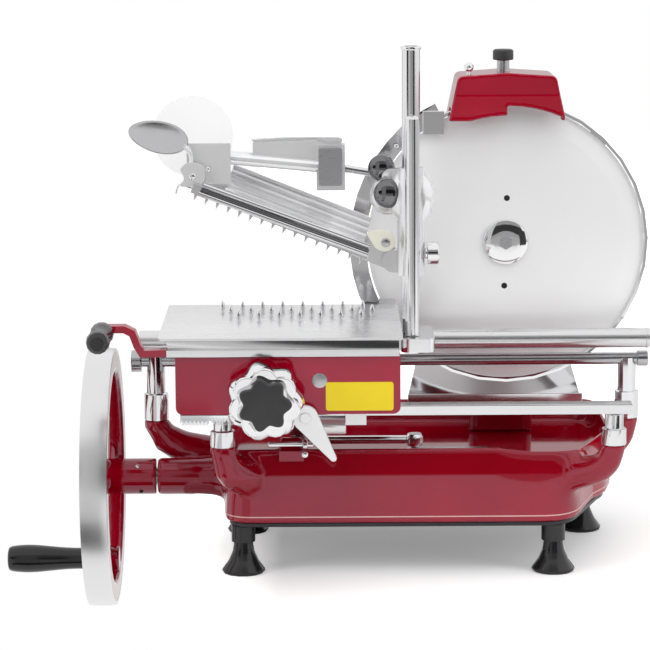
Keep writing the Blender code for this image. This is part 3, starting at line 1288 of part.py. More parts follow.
def build_carriage(carriage, red, chrome):
    front = CARRIAGE_FRONT_Y
    rear = front + CARRIAGE_SIDE_DEPTH
    outline = rounded(
        [
            (CARRIAGE_LEFT_X, CARRIAGE_BOTTOM_Z),
            (CARRIAGE_RIGHT_X, CARRIAGE_BOTTOM_Z),
            (CARRIAGE_RIGHT_X, CARRIAGE_TOP_Z),
            (CARRIAGE_LEFT_X, CARRIAGE_TOP_Z),
        ],
        [CARRIAGE_CORNER, CARRIAGE_CORNER, EDGE, EDGE],
        4,
    )
    box = prism("carriage_box", outline, front, rear, "XZ", red)
    wall = CARRIAGE_WALL
    low = (CARRIAGE_LEFT_X + wall, front + wall, CARRIAGE_BOTTOM_Z + wall)
    cut(box, block("box_room", low, (CARRIAGE_RIGHT_X - wall, rear + OVERRUN, CARRIAGE_TOP_Z + OVERRUN), red))
    start = (FEED_X, front - OVERRUN, FEED_Z)
    cut(box, rod("screw_hole", FEED_NECK_RADIUS + RUNNING_FIT, "Y", start, wall + OVERRUN * 2, red))
    channel_low = (CHANNEL_LEFT_X, CHANNEL_FRONT_Y, CHANNEL_BOTTOM_Z)
    channel = block("carriage_channel", channel_low, (CHANNEL_RIGHT_X, CHANNEL_REAR_Y, CHANNEL_TOP_Z), chrome)
    pocket_low = (CHANNEL_LEFT_X + CHANNEL_RAIL, POCKET_FRONT_Y, CHANNEL_BOTTOM_Z + CHANNEL_FLOOR)
    pocket_high = (CHANNEL_RIGHT_X - CHANNEL_RAIL, CHANNEL_REAR_Y - CHANNEL_RAIL, CHANNEL_TOP_Z + OVERRUN)
    cut(channel, block("channel_pocket", pocket_low, pocket_high, chrome))
    step_low = (CHANNEL_LEFT_X - OVERRUN, CHANNEL_FRONT_Y - OVERRUN, CHANNEL_BOTTOM_Z + CHANNEL_RECESS_HEIGHT)
    step_high = (CHANNEL_RIGHT_X + OVERRUN, CHANNEL_FRONT_Y + CHANNEL_RECESS_DEPTH, CHANNEL_TOP_Z + OVERRUN)
    cut(channel, block("channel_step", step_low, step_high, chrome))
    slot_low = (FEED_X - SLOT_WIDTH / 2, SLOT_FRONT_Y, CHANNEL_BOTTOM_Z - OVERRUN)
    slot_high = (FEED_X + SLOT_WIDTH / 2, SCREW_PLATE_Y - EDGE, CHANNEL_BOTTOM_Z + CHANNEL_FLOOR + OVERRUN)
    cut(channel, block("nut_slot", slot_low, slot_high, chrome))
    half = SLOT_WIDTH / 2
    plate_low = (FEED_X - half, SCREW_PLATE_Y, FEED_Z - half)
    plate_high = (FEED_X + half, SCREW_PLATE_Y + SCREW_PLATE_THICKNESS, CHANNEL_BOTTOM_Z + EDGE)
    hanger = block("screw_plate", plate_low, plate_high, chrome)
    start = (FEED_X, SCREW_PLATE_Y - OVERRUN, FEED_Z)
    length = SCREW_PLATE_THICKNESS + OVERRUN * 2
    cut(hanger, rod("screw_bore", FEED_SCREW_RADIUS + RUNNING_FIT, "Y", start, length, chrome))
    join(channel, hanger)
    lug_x = CRANK_X - CRANK_THROW - CON_ROD_LENGTH
    low = (lug_x - LUG_WIDTH / 2, LUG_FRONT_Y, CON_ROD_Z + EYE_HEIGHT / 2 + FIT)
    high = (lug_x + LUG_WIDTH / 2, LUG_FRONT_Y + LUG_THICKNESS, CHANNEL_BOTTOM_Z + EDGE)
    join(channel, block("rod_lug", low, high, chrome))
    start = (lug_x, CRANK_Y, CON_ROD_Z - EYE_HEIGHT / 2)
    join(channel, rod("lug_pin", LINK_RADIUS, "Z", start, EYE_HEIGHT + EDGE * 2, chrome))
    carry(carriage, box, channel)
    block_top = CHANNEL_BOTTOM_Z - FIT
    rear_y = CHANNEL_REAR_Y
    for name, x in (("slide_block_left", BUSH_BLOCK_LEFT_X), ("slide_block_right", BUSH_BLOCK_RIGHT_X)):
        half = BUSH_BLOCK_WIDTH / 2
        outline = rounded_box((BUSH_FRONT_Y, BUSH_BOTTOM_Z), (rear_y, block_top), CARRIAGE_WALL, 3)
        slide = prism(name, outline, x - half, x + half, "YZ", chrome)
        start = (x - half - OVERRUN, RAIL_Y, RAIL_Z)
        length = BUSH_BLOCK_WIDTH + OVERRUN * 2
        cut(slide, rod("rail_hole", RAIL_RADIUS + RUNNING_FIT, "X", start, length, chrome, TURN_STEPS))
        start = (x - half - OVERRUN, GUARD_TUBE_Y, GUARD_TUBE_Z)
        cut(slide, rod("tube_hole", GUARD_TUBE_RADIUS + FIT, "X", start, length, chrome, TURN_STEPS))
        carry(carriage, slide)
    start = (GUARD_TUBE_LEFT_X, GUARD_TUBE_Y, GUARD_TUBE_Z)
    length = GUARD_TUBE_RIGHT_X - GUARD_TUBE_LEFT_X
    bore = GUARD_TUBE_RADIUS - GUARD_TUBE_WALL
    guard = tube("guard_tube", GUARD_TUBE_RADIUS, bore, "X", start, length, chrome, TURN_STEPS)
    shoe_top = CARRIAGE_BOTTOM_Z - FIT
    half = BAR_DEPTH / 2 + SHOE_WALL
    low = (SHOE_X - SHOE_WIDTH / 2, BAR_Y - half, SHOE_BOTTOM_Z)
    shoe = block("front_shoe", low, (SHOE_X + SHOE_WIDTH / 2, BAR_Y + half, shoe_top), chrome)
    gap = BAR_DEPTH / 2 + RUNNING_FIT
    low = (SHOE_X - SHOE_WIDTH, BAR_Y - gap, BAR_TOP_Z - BAR_HEIGHT - RUNNING_FIT)
    cut(shoe, block("shoe_slot", low, (SHOE_X + SHOE_WIDTH, BAR_Y + gap, shoe_top + OVERRUN), chrome))
    barrel_z = BAR_TOP_Z - BAR_HEIGHT - RUNNING_FIT - BARREL_RADIUS
    start = (SHOE_X - SHOE_WIDTH / 2 - BARREL_LENGTH, BAR_Y, barrel_z)
    join(shoe, rod("plunger_barrel", BARREL_RADIUS, "X", start, BARREL_LENGTH + EDGE, chrome, TURN_STEPS, EDGE))
    teeth = round((RACK_RIGHT_X - RACK_LEFT_X) / RACK_PITCH)
    top = CARRIAGE_BOTTOM_Z - FIT
    outline = [(RACK_RIGHT_X, top), (RACK_LEFT_X, top)]
    pitch = (RACK_RIGHT_X - RACK_LEFT_X) / teeth
    for i in range(teeth):
        outline.append((RACK_LEFT_X + pitch * i, top - RACK_HEIGHT))
        outline.append((RACK_LEFT_X + pitch * (i + 0.55), top - RACK_HEIGHT + RACK_TOOTH))
    outline.append((RACK_RIGHT_X, top - RACK_HEIGHT))
    rack = prism("rack_strip", outline, front + EDGE, front + EDGE + RACK_DEPTH, "XZ", chrome)
    carry(carriage, guard, shoe, rack)


def build_connecting_rod(holder, chrome):
    lug_x = CRANK_X - CRANK_THROW - CON_ROD_LENGTH
    half = EYE_HEIGHT / 2
    low = CON_ROD_Z - half
    rod_piece = tube("connecting_rod", ROD_END_RADIUS, LINK_RADIUS + FIT, "Z", (lug_x, CRANK_Y, low), EYE_HEIGHT, chrome)
    ball_x = lug_x + CON_ROD_LENGTH
    start = (lug_x + ROD_END_RADIUS - EDGE, CRANK_Y, CON_ROD_Z)
    length = CON_ROD_LENGTH - ROD_END_RADIUS * 2 + EDGE * 2
    join(rod_piece, rod("rod_shank", CON_ROD_RADIUS, "X", start, length, chrome))
    profile = [(0, -half), (ROD_END_RADIUS * 0.8, -half), (ROD_END_RADIUS, -half / 2)]
    profile += [(ROD_END_RADIUS, half / 2), (ROD_END_RADIUS * 0.8, half), (0, half)]
    join(rod_piece, turned("rod_ball", profile, "Z", (ball_x, CRANK_Y, CON_ROD_Z), chrome, SMALL_STEPS))
    carry(holder, rod_piece)


def build_pull_handle(carriage, red, black):
    front = CHANNEL_FRONT_Y
    seat = (CHANNEL_LEFT_X - FIT, CHANNEL_BOTTOM_Z + HANDLE_THICKNESS / 2 + FIT)
    outline = ribbon((seat, *HANDLE_PATH), HANDLE_THICKNESS)
    strip = prism("handle_bracket", outline, front, front + HANDLE_WIDTH, "XZ", red)
    length = SPOOL_LENGTH
    profile = [(0, 0)]
    for share, radius in SPOOL_PROFILE_SHARES:
        profile.append((SPOOL_WAIST_RADIUS + (SPOOL_BALL_RADIUS - SPOOL_WAIST_RADIUS) * radius, length * share))
    profile.append((0, length))
    spool = turned("handle_spool", profile, "Y", (SPOOL_X, front - FIT - length, SPOOL_Z), black, GRIP_STEPS)
    carry(carriage, strip, spool)


def lobed(radius, lobes, share, steps):
    """The outline of a hand knob whose rim swells into rounded lobes."""
    outline = []
    for i in range(steps):
        angle = 2 * math.pi * i / steps
        wave = 0.5 + 0.5 * math.cos(lobes * angle)
        reach = radius * (1 - 2 * share * (1 - math.sqrt(wave)))
        outline.append((reach, angle))
    return outline


def lobed_solid(name, radius, lobes, share, front, depth, finish):
    """A lobed knob with a softened front edge, turned about the feed screw's axis."""
    rings = []
    for inset, y in ((EDGE * 2, front), (0, front + EDGE * 2), (0, front + depth - EDGE), (EDGE, front + depth)):
        ring = []
        for reach, angle in lobed(radius, lobes, share, LOBE_STEPS):
            ring.append((FEED_X + (reach - inset) * math.sin(angle), y, FEED_Z + (reach - inset) * math.cos(angle)))
        rings.append(ring)
    return object_from(name, rings_mesh(rings), finish)


def build_feed(feed, lever_body, chrome, black, steel):
    knob_rear = CARRIAGE_FRONT_Y - FEED_KNOB_STANDOFF
    knob_front = knob_rear - FEED_KNOB_DEPTH
    knob = lobed_solid("feed_knob", FEED_KNOB_RADIUS, FEED_KNOB_LOBES, FEED_LOBE_SHARE, knob_front, FEED_KNOB_DEPTH, chrome)
    neck_start = (FEED_X, knob_rear - EDGE, FEED_Z)
    join(knob, rod("knob_neck", FEED_COLLAR_RADIUS, "Y", neck_start, FEED_KNOB_STANDOFF + EDGE - FIT, chrome))
    insert_front = knob_front - FIT - FEED_INSERT_HEIGHT
    insert = lobed_solid(
        "feed_insert",
        FEED_INSERT_RADIUS,
        FEED_KNOB_LOBES,
        FEED_INSERT_LOBE_SHARE,
        insert_front,
        FEED_INSERT_HEIGHT,
        black,
    )
    neck_end = CARRIAGE_FRONT_Y + CARRIAGE_WALL + EDGE
    profile = [
        (0, CARRIAGE_FRONT_Y - FEED_KNOB_STANDOFF),
        (FEED_NECK_RADIUS, CARRIAGE_FRONT_Y - FEED_KNOB_STANDOFF),
        (FEED_NECK_RADIUS, neck_end),
        (FEED_SCREW_RADIUS, neck_end + EDGE),
        (FEED_SCREW_RADIUS, FEED_SCREW_END_Y),
        (0, FEED_SCREW_END_Y),
    ]
    join(knob, turned("feed_screw", profile, "Y", (FEED_X, 0, FEED_Z), steel, SMALL_STEPS))
    carry(feed, knob, insert)
    rear = CARRIAGE_FRONT_Y - LEVER_GAP
    front = rear - LEVER_THICKNESS
    head = (LEVER_X, LEVER_Z)
    tip = (LEVER_X + LEVER_LENGTH * math.cos(LEVER_ANGLE), LEVER_Z + LEVER_LENGTH * math.sin(LEVER_ANGLE))
    spread = math.asin((LEVER_HEAD_RADIUS - LEVER_TIP_RADIUS) / LEVER_LENGTH)
    half_turn = math.pi / 2 - spread
    outline = arc(head, LEVER_HEAD_RADIUS, LEVER_ANGLE + half_turn, LEVER_ANGLE + math.pi * 2 - half_turn, SMALL_STEPS)
    outline += arc(tip, LEVER_TIP_RADIUS, LEVER_ANGLE - half_turn, LEVER_ANGLE + half_turn, 6)
    lever = prism("release_lever", outline, front, rear, "XZ", chrome)
    start = (LEVER_X, front - LEVER_HEAD_HEIGHT, LEVER_Z)
    length = CARRIAGE_FRONT_Y - FIT - start[1]
    join(lever, rod("lever_screw", LEVER_SCREW_RADIUS, "Y", start, length, chrome))
    carry(lever_body, lever)


def build_table(table, chrome, steel):
    right = SKIRT_LEFT_X + SKIRT_THICKNESS
    outline = rounded_box((TABLE_LEFT_X, TABLE_FRONT_Y), (right, TABLE_REAR_Y), CARRIAGE_WALL, 3)
    plate = prism("meat_table", outline, TABLE_BOTTOM_Z, TABLE_TOP_Z, "XY", chrome)
    low = (SKIRT_LEFT_X, SKIRT_FRONT_Y, TABLE_TOP_Z - SKIRT_HEIGHT)
    join(plate, block("skirt", low, (right, SKIRT_REAR_Y, TABLE_TOP_Z - EDGE / 2), chrome))
    fence_right = right - SKIRT_THICKNESS
    low = (fence_right - FENCE_LENGTH, TABLE_REAR_Y - TABLE_THICKNESS * 2, TABLE_BOTTOM_Z + EDGE / 2)
    high = (fence_right, TABLE_REAR_Y - TABLE_THICKNESS, TABLE_TOP_Z + FENCE_HEIGHT)
    join(plate, block("fence", low, high, chrome))
    for row, (count, share) in enumerate(zip(SPIKE_ROW_COUNTS, SPIKE_ROW_SHIFT_SHARES)):
        for i in range(count):
            x = SPIKE_FIRST_X + SPIKE_PITCH * (i + share)
            y = SPIKE_REAR_Y - SPIKE_ROW_GAP * row
            profile = [(SPIKE_RADIUS, -TABLE_THICKNESS / 2), (SPIKE_RADIUS, SPIKE_HEIGHT * 0.45), (0, SPIKE_HEIGHT)]
            join(plate, turned("spike", profile, "Z", (x, y, TABLE_TOP_Z), steel, SPIKE_SIDES))
    runner_low = CHANNEL_BOTTOM_Z + CHANNEL_FLOOR + RUNNING_FIT
    runner_top = TABLE_BOTTOM_Z - FIT
    left = CHANNEL_LEFT_X + CHANNEL_RAIL + RUNNING_FIT
    right = CHANNEL_RIGHT_X - CHANNEL_RAIL - RUNNING_FIT
    low = (left, RUNNER_FRONT_Y, runner_low)
    slide = block("table_slide", low, (left + RUNNER_WIDTH, RUNNER_REAR_Y, runner_top), steel)
    low = (right - RUNNER_WIDTH, RUNNER_FRONT_Y, runner_low)
    join(slide, block("right_runner", low, (right, RUNNER_REAR_Y, runner_top), steel))
    low = (left + EDGE, NUT_FRONT_Y, runner_low + EDGE)
    join(slide, block("cross_bar", low, (right - EDGE, NUT_FRONT_Y + NUT_LENGTH, runner_top - EDGE), steel))
    half = NUT_SIZE / 2
    nut_low = (FEED_X - half, NUT_FRONT_Y, FEED_Z - half)
    nut = block("nut", nut_low, (FEED_X + half, NUT_FRONT_Y + NUT_LENGTH, runner_low + EDGE * 2), steel)
    start = (FEED_X, NUT_FRONT_Y - OVERRUN, FEED_Z)
    cut(nut, rod("nut_thread", FEED_SCREW_RADIUS + FIT, "Y", start, NUT_LENGTH + OVERRUN * 2, steel))
    join(slide, nut)
    foot_low = (FOOT_BLOCK_LEFT_X, FOOT_BLOCK_FRONT_Y)
    foot_high = (FOOT_BLOCK_LEFT_X + FOOT_BLOCK_WIDTH, FOOT_BLOCK_FRONT_Y + FOOT_BLOCK_DEPTH)
    outline = rounded_box(foot_low, foot_high, CARRIAGE_CORNER, 4)
    foot_bottom = FOOT_BLOCK_TOP_Z - FOOT_BLOCK_HEIGHT
    foot = prism("column_foot", outline, foot_bottom, FOOT_BLOCK_TOP_Z, "XY", chrome)
    column = turned("column", dome_profile(COLUMN_RADIUS, FOOT_BLOCK_TOP_Z + FIT, COLUMN_TOP_Z, COLUMN_RADIUS / 3), "Z",
                    (COLUMN_X, COLUMN_Y, 0), chrome, TURN_STEPS)
    rod_profile = dome_profile(ROD_RADIUS, FOOT_BLOCK_TOP_Z + FIT, ROD_TOP_Z, ROD_RADIUS / 2)
    front_rod = turned("front_rod", rod_profile, "Z", (COLUMN_X + ROD_SHIFT_X, ROD_Y, 0), chrome, TURN_STEPS)
    carry(table, plate, slide, foot, column, front_rod)


def arm_prism(name, outline, low_y, high_y, finish):
    """Extrudes an outline given along and across the sloping press arm."""
    rings = []
    for y in (low_y, high_y):
        ring = []
        for along, across in outline:
            point = PIVOT + ARM_DIRECTION * along + ARM_NORMAL * across
            ring.append((point.x, y, point.z))
        rings.append(ring)
    return object_from(name, rings_mesh(rings), finish)


def build_slider(slider_body, clamp_body, chrome, red, black):
    bore = COLUMN_RADIUS + SLIDER_BORE_CLEARANCE
    height = SLIDER_TOP_Z - SLIDER_BOTTOM_Z
    start = (COLUMN_X, COLUMN_Y, SLIDER_BOTTOM_Z)
    slider = rod("press_slider", SLIDER_RADIUS, "Z", start, height, chrome, TURN_STEPS)
    for x, z, radius in ((PIVOT_X, PIVOT_Z, PIVOT_PLATE_RADIUS), (LINK_PIVOT_X, LINK_PIVOT_Z, LINK_EYE_RADIUS)):
        outline = [(COLUMN_X, z - radius), (COLUMN_X, z + radius)]
        outline += arc((x, z), radius, math.pi / 2, math.pi * 3 / 2, 8)
        join(slider, prism("slider_lug", outline, LUG_FACE_Y - SLIDER_LUG_THICKNESS, LUG_FACE_Y, "XZ", chrome))
        pin_start = (x, LUG_FACE_Y - EDGE, z)
        pin_length = PRESS_BAR_REAR_Y - LUG_FACE_Y + EDGE
        join(slider, rod("slider_pin", PIVOT_PIN_RADIUS, "Y", pin_start, pin_length, chrome, SCREW_STEPS))
    profile = [(DOME_RADIUS, SLIDER_LUG_THICKNESS)]
    for i in range(DOME_STEPS + 1):
        angle = math.pi / 2 * i / DOME_STEPS
        radius = 0 if i == DOME_STEPS else DOME_RADIUS * math.cos(angle)
        profile.append((radius, SLIDER_LUG_THICKNESS / 2 - DOME_DEPTH * math.sin(angle)))
    start = (DOME_X, LUG_FACE_Y - SLIDER_LUG_THICKNESS, DOME_Z)
    join(slider, turned("slider_dome", profile, "Y", start, chrome))
    lobe = ball_profile(1.0)
    lobe_piece = turned("slider_lobe", lobe, "Z", (0, 0, 0), chrome, GRIP_STEPS)
    stretch = Matrix.Diagonal((LOBE_REACH, LOBE_DEPTH, LOBE_HEIGHT, 1))
    lobe_piece.data.transform(Matrix.Translation((COLUMN_X, COLUMN_Y, DOME_Z)) @ stretch)
    join(slider, lobe_piece)
    start = (COLUMN_X, COLUMN_Y, SLIDER_BOTTOM_Z - OVERRUN)
    cut(slider, rod("slider_bore", bore, "Z", start, height + OVERRUN * 2, chrome, TURN_STEPS))
    carry(slider_body, slider)
    start = (COLUMN_X + SLIDER_RADIUS + FIT, COLUMN_Y, CLAMP_Z)
    profile = [(0, 0), (CLAMP_RADIUS / 2, 0), (CLAMP_RADIUS / 2, EDGE * 3), (CLAMP_RADIUS, EDGE * 3)]
    profile += [(CLAMP_RADIUS, CLAMP_LENGTH - EDGE * 2), (CLAMP_RADIUS - EDGE * 2, CLAMP_LENGTH), (0, CLAMP_LENGTH)]
    carry(clamp_body, turned("clamp_knob", profile, "X", start, chrome, TURN_STEPS))


def ball_profile(radius):
    profile = []
    steps = DOME_STEPS * 2
    for i in range(steps + 1):
        angle = math.pi * i / steps
        reach = 0 if i in (0, steps) else radius * math.sin(angle)
        profile.append((reach, -radius * math.cos(angle)))
    return profile


def build_press(arm_body, link_body, trigger_body, chrome, red, pale):
    bar_front = PRESS_BAR_REAR_Y - PRESS_BAR_DEPTH
    end = COMB_START + COMB_LENGTH
    outline = arc((0, 0), PIVOT_PLATE_RADIUS, math.pi / 2, math.pi * 3 / 2, 8)
    outline += [(end, -PRESS_BAR_DROP), (end, PRESS_BAR_RISE), (PIVOT_PLATE_RADIUS * 1.5, PRESS_BAR_RISE)]
    arm = arm_prism("press_arm", outline, bar_front, PRESS_BAR_REAR_Y, chrome)
    start = (PIVOT_X, bar_front - OVERRUN, PIVOT_Z)
    cut(arm, rod("arm_pivot_bore", PIVOT_PIN_RADIUS + FIT, "Y", start, PRESS_BAR_DEPTH + OVERRUN * 2, chrome, SCREW_STEPS))
    join(arm, build_press_plate(chrome))
    outline = [(COMB_START, COMB_TOP), (COMB_START, -COMB_DROP)]
    pitch = COMB_LENGTH / COMB_TEETH
    for i in range(COMB_TEETH):
        root = COMB_START + pitch * (i + 0.5)
        outline.append((root - COMB_TOOTH_WIDTH / 2, -COMB_DROP))
        outline.append((root, -COMB_DROP - COMB_TOOTH_LENGTH))
        outline.append((root + COMB_TOOTH_WIDTH / 2, -COMB_DROP))
    outline += [(end, -COMB_DROP), (end, COMB_TOP)]
    comb_rear = PLATE_FRONT_Y - PLATE_THICKNESS / 2 - FIT
    comb = arm_prism("comb_bar", outline, comb_rear - COMB_THICKNESS, comb_rear, chrome)
    carry(arm_body, arm, comb, build_bar_handle(chrome))
    link_end_x = LINK_PIVOT_X - LINK_LENGTH * math.cos(LINK_SLOPE)
    link_end_z = LINK_PIVOT_Z + LINK_LENGTH * math.sin(LINK_SLOPE)
    start = (LINK_PIVOT_X, bar_front, LINK_PIVOT_Z)
    link = rod("link_rod", LINK_EYE_RADIUS, "Y", start, PRESS_BAR_DEPTH, chrome, TURN_STEPS)
    path = [(LINK_PIVOT_X, PRESS_Y, LINK_PIVOT_Z), (link_end_x, PRESS_Y, link_end_z)]
    join(link, swept("link_shank", path, [LINK_RADIUS, LINK_RADIUS], chrome))
    start = (LINK_PIVOT_X, bar_front - OVERRUN, LINK_PIVOT_Z)
    cut(link, rod("link_bore", PIVOT_PIN_RADIUS + FIT, "Y", start, PRESS_BAR_DEPTH + OVERRUN * 2, chrome, SCREW_STEPS))
    carry(link_body, link)
    disc_start = (DISC_X, END_BLOCK_REAR_Y + FIT, DISC_Z)
    disc = rod("hand_guard", DISC_RADIUS, "Y", disc_start, DISC_THICKNESS, pale, BLADE_STEPS // 2)
    carry(arm_body, disc)
    build_trigger(trigger_body, chrome)


def build_press_plate(chrome):
    """A sloping plate along the arm with shallow ribs pressed into its upper side."""
    low = Vector((PLATE_FRONT_Y, 0))
    high = Vector((PLATE_FRONT_Y + PLATE_WIDTH, PLATE_RISE))
    ahead = (high - low).normalized()
    upward = Vector((-ahead.y, ahead.x))
    length = (high - low).length
    section = [low, high, high + upward * PLATE_THICKNESS]
    pitch = length / PLATE_RIBS
    for i in reversed(range(PLATE_RIBS)):
        middle = pitch * (i + 0.5)
        for offset, height in (
            (PLATE_RIB_WIDTH / 2, 0),
            (PLATE_RIB_WIDTH / 4, PLATE_RIB_HEIGHT),
            (-PLATE_RIB_WIDTH / 4, PLATE_RIB_HEIGHT),
            (-PLATE_RIB_WIDTH / 2, 0),
        ):
            section.append(low + ahead * (middle + offset) + upward * (PLATE_THICKNESS + height))
    section.append(low + upward * PLATE_THICKNESS)
    rings = []
    for along in (PLATE_START, PLATE_START + PLATE_LENGTH):
        base = PIVOT + ARM_DIRECTION * along
        rings.append([(base + ARM_NORMAL * n).to_tuple()[:1] + (y,) + (base + ARM_NORMAL * n).to_tuple()[2:] for y, n in section])
    return object_from("press_plate", rings_mesh(rings), chrome)


def build_bar_handle(chrome):
    """The upper handle: two round bars between an end plate and a slotted block, with a leaf over them."""
    half = BLOCK_HEIGHT / 2
    low = (BLOCK_X - BLOCK_WIDTH / 2, PRESS_Y - BLOCK_DEPTH / 2, BLOCK_Z - half)
    high = (BLOCK_X + BLOCK_WIDTH / 2, PRESS_Y + BLOCK_DEPTH / 2, BLOCK_Z + half)
    handle = block("bar_handle", low, high, chrome)
    left = Vector((END_BLOCK_RIGHT_X - EDGE, 0, TWIN_LEFT_Z))
    right = Vector((BLOCK_X, 0, BLOCK_Z))
    for side in (-1, 1):
        shift = Vector((0, PRESS_Y + side * TWIN_SPACING / 2, 0))
        join(handle, swept("twin_bar", [left + shift, right + shift], [TWIN_RADIUS, TWIN_RADIUS], chrome))
    low = (END_BLOCK_LEFT_X, END_PLATE_FRONT_Y, END_BLOCK_BOTTOM_Z)
    high = (END_BLOCK_RIGHT_X, END_BLOCK_REAR_Y, END_BLOCK_BOTTOM_Z + END_BLOCK_HEIGHT)
    join(handle, block("end_block", low, high, chrome))
    half = BRACKET_WIDTH / 2
    low = (BRACKET_X - half, END_PLATE_FRONT_Y, BRACKET_BOTTOM_Z)
    high = (BRACKET_X + half, END_PLATE_FRONT_Y + BRACKET_THICKNESS, BRACKET_TOP_Z)
    join(handle, block("end_plate", low, high, chrome))
    outline = [
        (LEAF_LEFT_X, LEAF_BOTTOM_Z),
        (LEAF_RIGHT_X, LEAF_BOTTOM_Z - LEAF_DROP),
        (LEAF_RIGHT_X, LEAF_TOP_Z - LEAF_DROP),
        (LEAF_MIDDLE_X, LEAF_TOP_Z),
        (LEAF_LEFT_X, LEAF_TOP_Z - LEAF_DROP / 2),
    ]
    leaf = prism("bar_leaf", outline, PRESS_Y - LEAF_WIDTH / 2, PRESS_Y + LEAF_WIDTH / 2, "XZ", chrome)
    join(handle, leaf)
    slot = BLOCK_SLOT_HEIGHT / 2
    slope = math.tan(LINK_SLOPE)
    ends = (LEAF_LEFT_X - OVERRUN, BLOCK_X + BLOCK_WIDTH)
    middles = [(x, LINK_PIVOT_Z + (LINK_PIVOT_X - x) * slope) for x in ends]
    outline = [(x, z - slot) for x, z in middles] + [(x, z + slot) for x, z in reversed(middles)]
    cut(handle, prism("link_slot", outline, PRESS_Y - SLOT_HALF_DEPTH, PRESS_Y + SLOT_HALF_DEPTH, "XZ", chrome))
    return handle


def build_trigger(trigger_body, chrome):
    face = END_PLATE_FRONT_Y - FIT
    trigger = rod("trigger", TRIGGER_EYE_RADIUS, "Y", (TRIGGER_X, face - TRIGGER_EYE_DEPTH, TRIGGER_PIVOT_Z), TRIGGER_EYE_DEPTH, chrome)
    centre = Vector((TRIGGER_X, face - TRIGGER_EYE_DEPTH / 2, TRIGGER_PIVOT_Z))
    ahead = Vector((-math.cos(TRIGGER_SLOPE), 0, math.sin(TRIGGER_SLOPE)))
    across = Vector((0, -math.cos(TRIGGER_TILT), -math.sin(TRIGGER_TILT)))
    normal = ahead.cross(across).normalized()
    outline = []
    for share, width in TRIGGER_SHARES:
        outline.append((TRIGGER_LENGTH * share, TRIGGER_WIDTH / 2 * width))
    outline += [(u, -v) for u, v in reversed(outline)]
    rings = []
    for side in (-1, 1):
        offset = centre + normal * side * TRIGGER_THICKNESS / 2
        rings.append([offset + ahead * u + across * v for u, v in outline])
    join(trigger, object_from("trigger_spoon", rings_mesh(rings), chrome))
    carry(trigger_body, trigger)


def main():
    clear_scene()
    red = material("red_enamel", (0.42, 0.005, 0.012), 0.22, 0.0)
    chrome = material("polished_steel", (0.78, 0.79, 0.80), 0.12, 1.0)
    steel = material("plain_steel", (0.55, 0.56, 0.58), 0.35, 1.0)
    black = material("black_plastic", (0.02, 0.02, 0.022), 0.4, 0.0)
    white = material("white_stone", (0.82, 0.81, 0.78), 0.7, 0.0)
    pale = material("pale_plastic", (0.72, 0.74, 0.76), 0.3, 0.0)
    frame = body("frame", (0, 0, 0))
    wheel = body("flywheel_axis", (WHEEL_CENTRE_X, WHEEL_AXIS_Y, WHEEL_AXIS_Z), frame)
    grip = body("grip_axis", (WHEEL_LEFT_X, CRANK_PIN_Y, CRANK_PIN_Z), wheel)
    crank = body("crank_axis", (CRANK_X, CRANK_Y, CRANK_ARM_Z), frame)
    cross = body("cross_axis", (BLADE_X, 0, WHEEL_AXIS_Z), frame)
    riser = body("riser_axis", (BLADE_X, RISER_Y, DECK_Z), frame)
    spindle = body("blade_axis", (BLADE_X, 0, BLADE_Z), frame)
    holder = body("sharpener_slide", (KNOB_X, KNOB_Y, COVER_TOP_Z), frame)
    stones = [
        body(name, (BLADE_X + side * STONE_SPACING / 2, STONE_ARM_FRONT_Y, STONE_Z), holder)
        for name, side in (("grinding_axis", -1), ("honing_axis", 1))
    ]
    ball_pin = body("ball_pin_slide", (PIN_X, PIN_Y, COVER_TOP_Z), frame)
    lock = body("lock_pin_slide", (LOCK_X, LOCK_Y, LOCK_Z), frame)
    carriage = body("carriage_slide", (0, RAIL_Y, RAIL_Z), frame)
    rod_axis = body("rod_axis", (CRANK_X - CRANK_THROW - CON_ROD_LENGTH, CRANK_Y, CON_ROD_Z), carriage)
    table = body("table_travel", (FEED_X, NUT_FRONT_Y, TABLE_BOTTOM_Z), carriage)
    feed = body("feed_axis", (FEED_X, CARRIAGE_FRONT_Y, FEED_Z), carriage)
    lever = body("lever_axis", (LEVER_X, CARRIAGE_FRONT_Y, LEVER_Z), carriage)
    slider = body("press_travel", (COLUMN_X, COLUMN_Y, SLIDER_BOTTOM_Z), table)
    clamp = body("clamp_axis", (COLUMN_X + SLIDER_RADIUS, COLUMN_Y, CLAMP_Z), slider)
    arm = body("arm_axis", PIVOT, slider)
    link = body("link_axis", (LINK_PIVOT_X, PRESS_Y, LINK_PIVOT_Z), slider)
    trigger = body("trigger_axis", (TRIGGER_X, END_PLATE_FRONT_Y, TRIGGER_PIVOT_Z), arm)
    build_base(frame, red, black, steel)
    build_rails(frame, chrome, white)
    build_lock_pin(lock, chrome)
    build_blade_support(frame, red, chrome)
    build_guards(frame, chrome)
    build_tray(frame, chrome)
    build_flywheel(wheel, grip, red, steel, black)
    build_drive(wheel, crank, cross, riser, spindle, steel)
    build_blade(spindle, chrome)
    build_sharpener(frame, holder, stones, ball_pin, red, black, steel, white)
    build_carriage(carriage, red, chrome)
    build_connecting_rod(rod_axis, chrome)
    build_pull_handle(carriage, red, black)
    build_feed(feed, lever, chrome, black, steel)
    build_table(table, chrome, steel)
    build_slider(slider, clamp, chrome, red, black)
    build_press(arm, link, trigger, chrome, red, pale)
    centre_on_origin(frame)


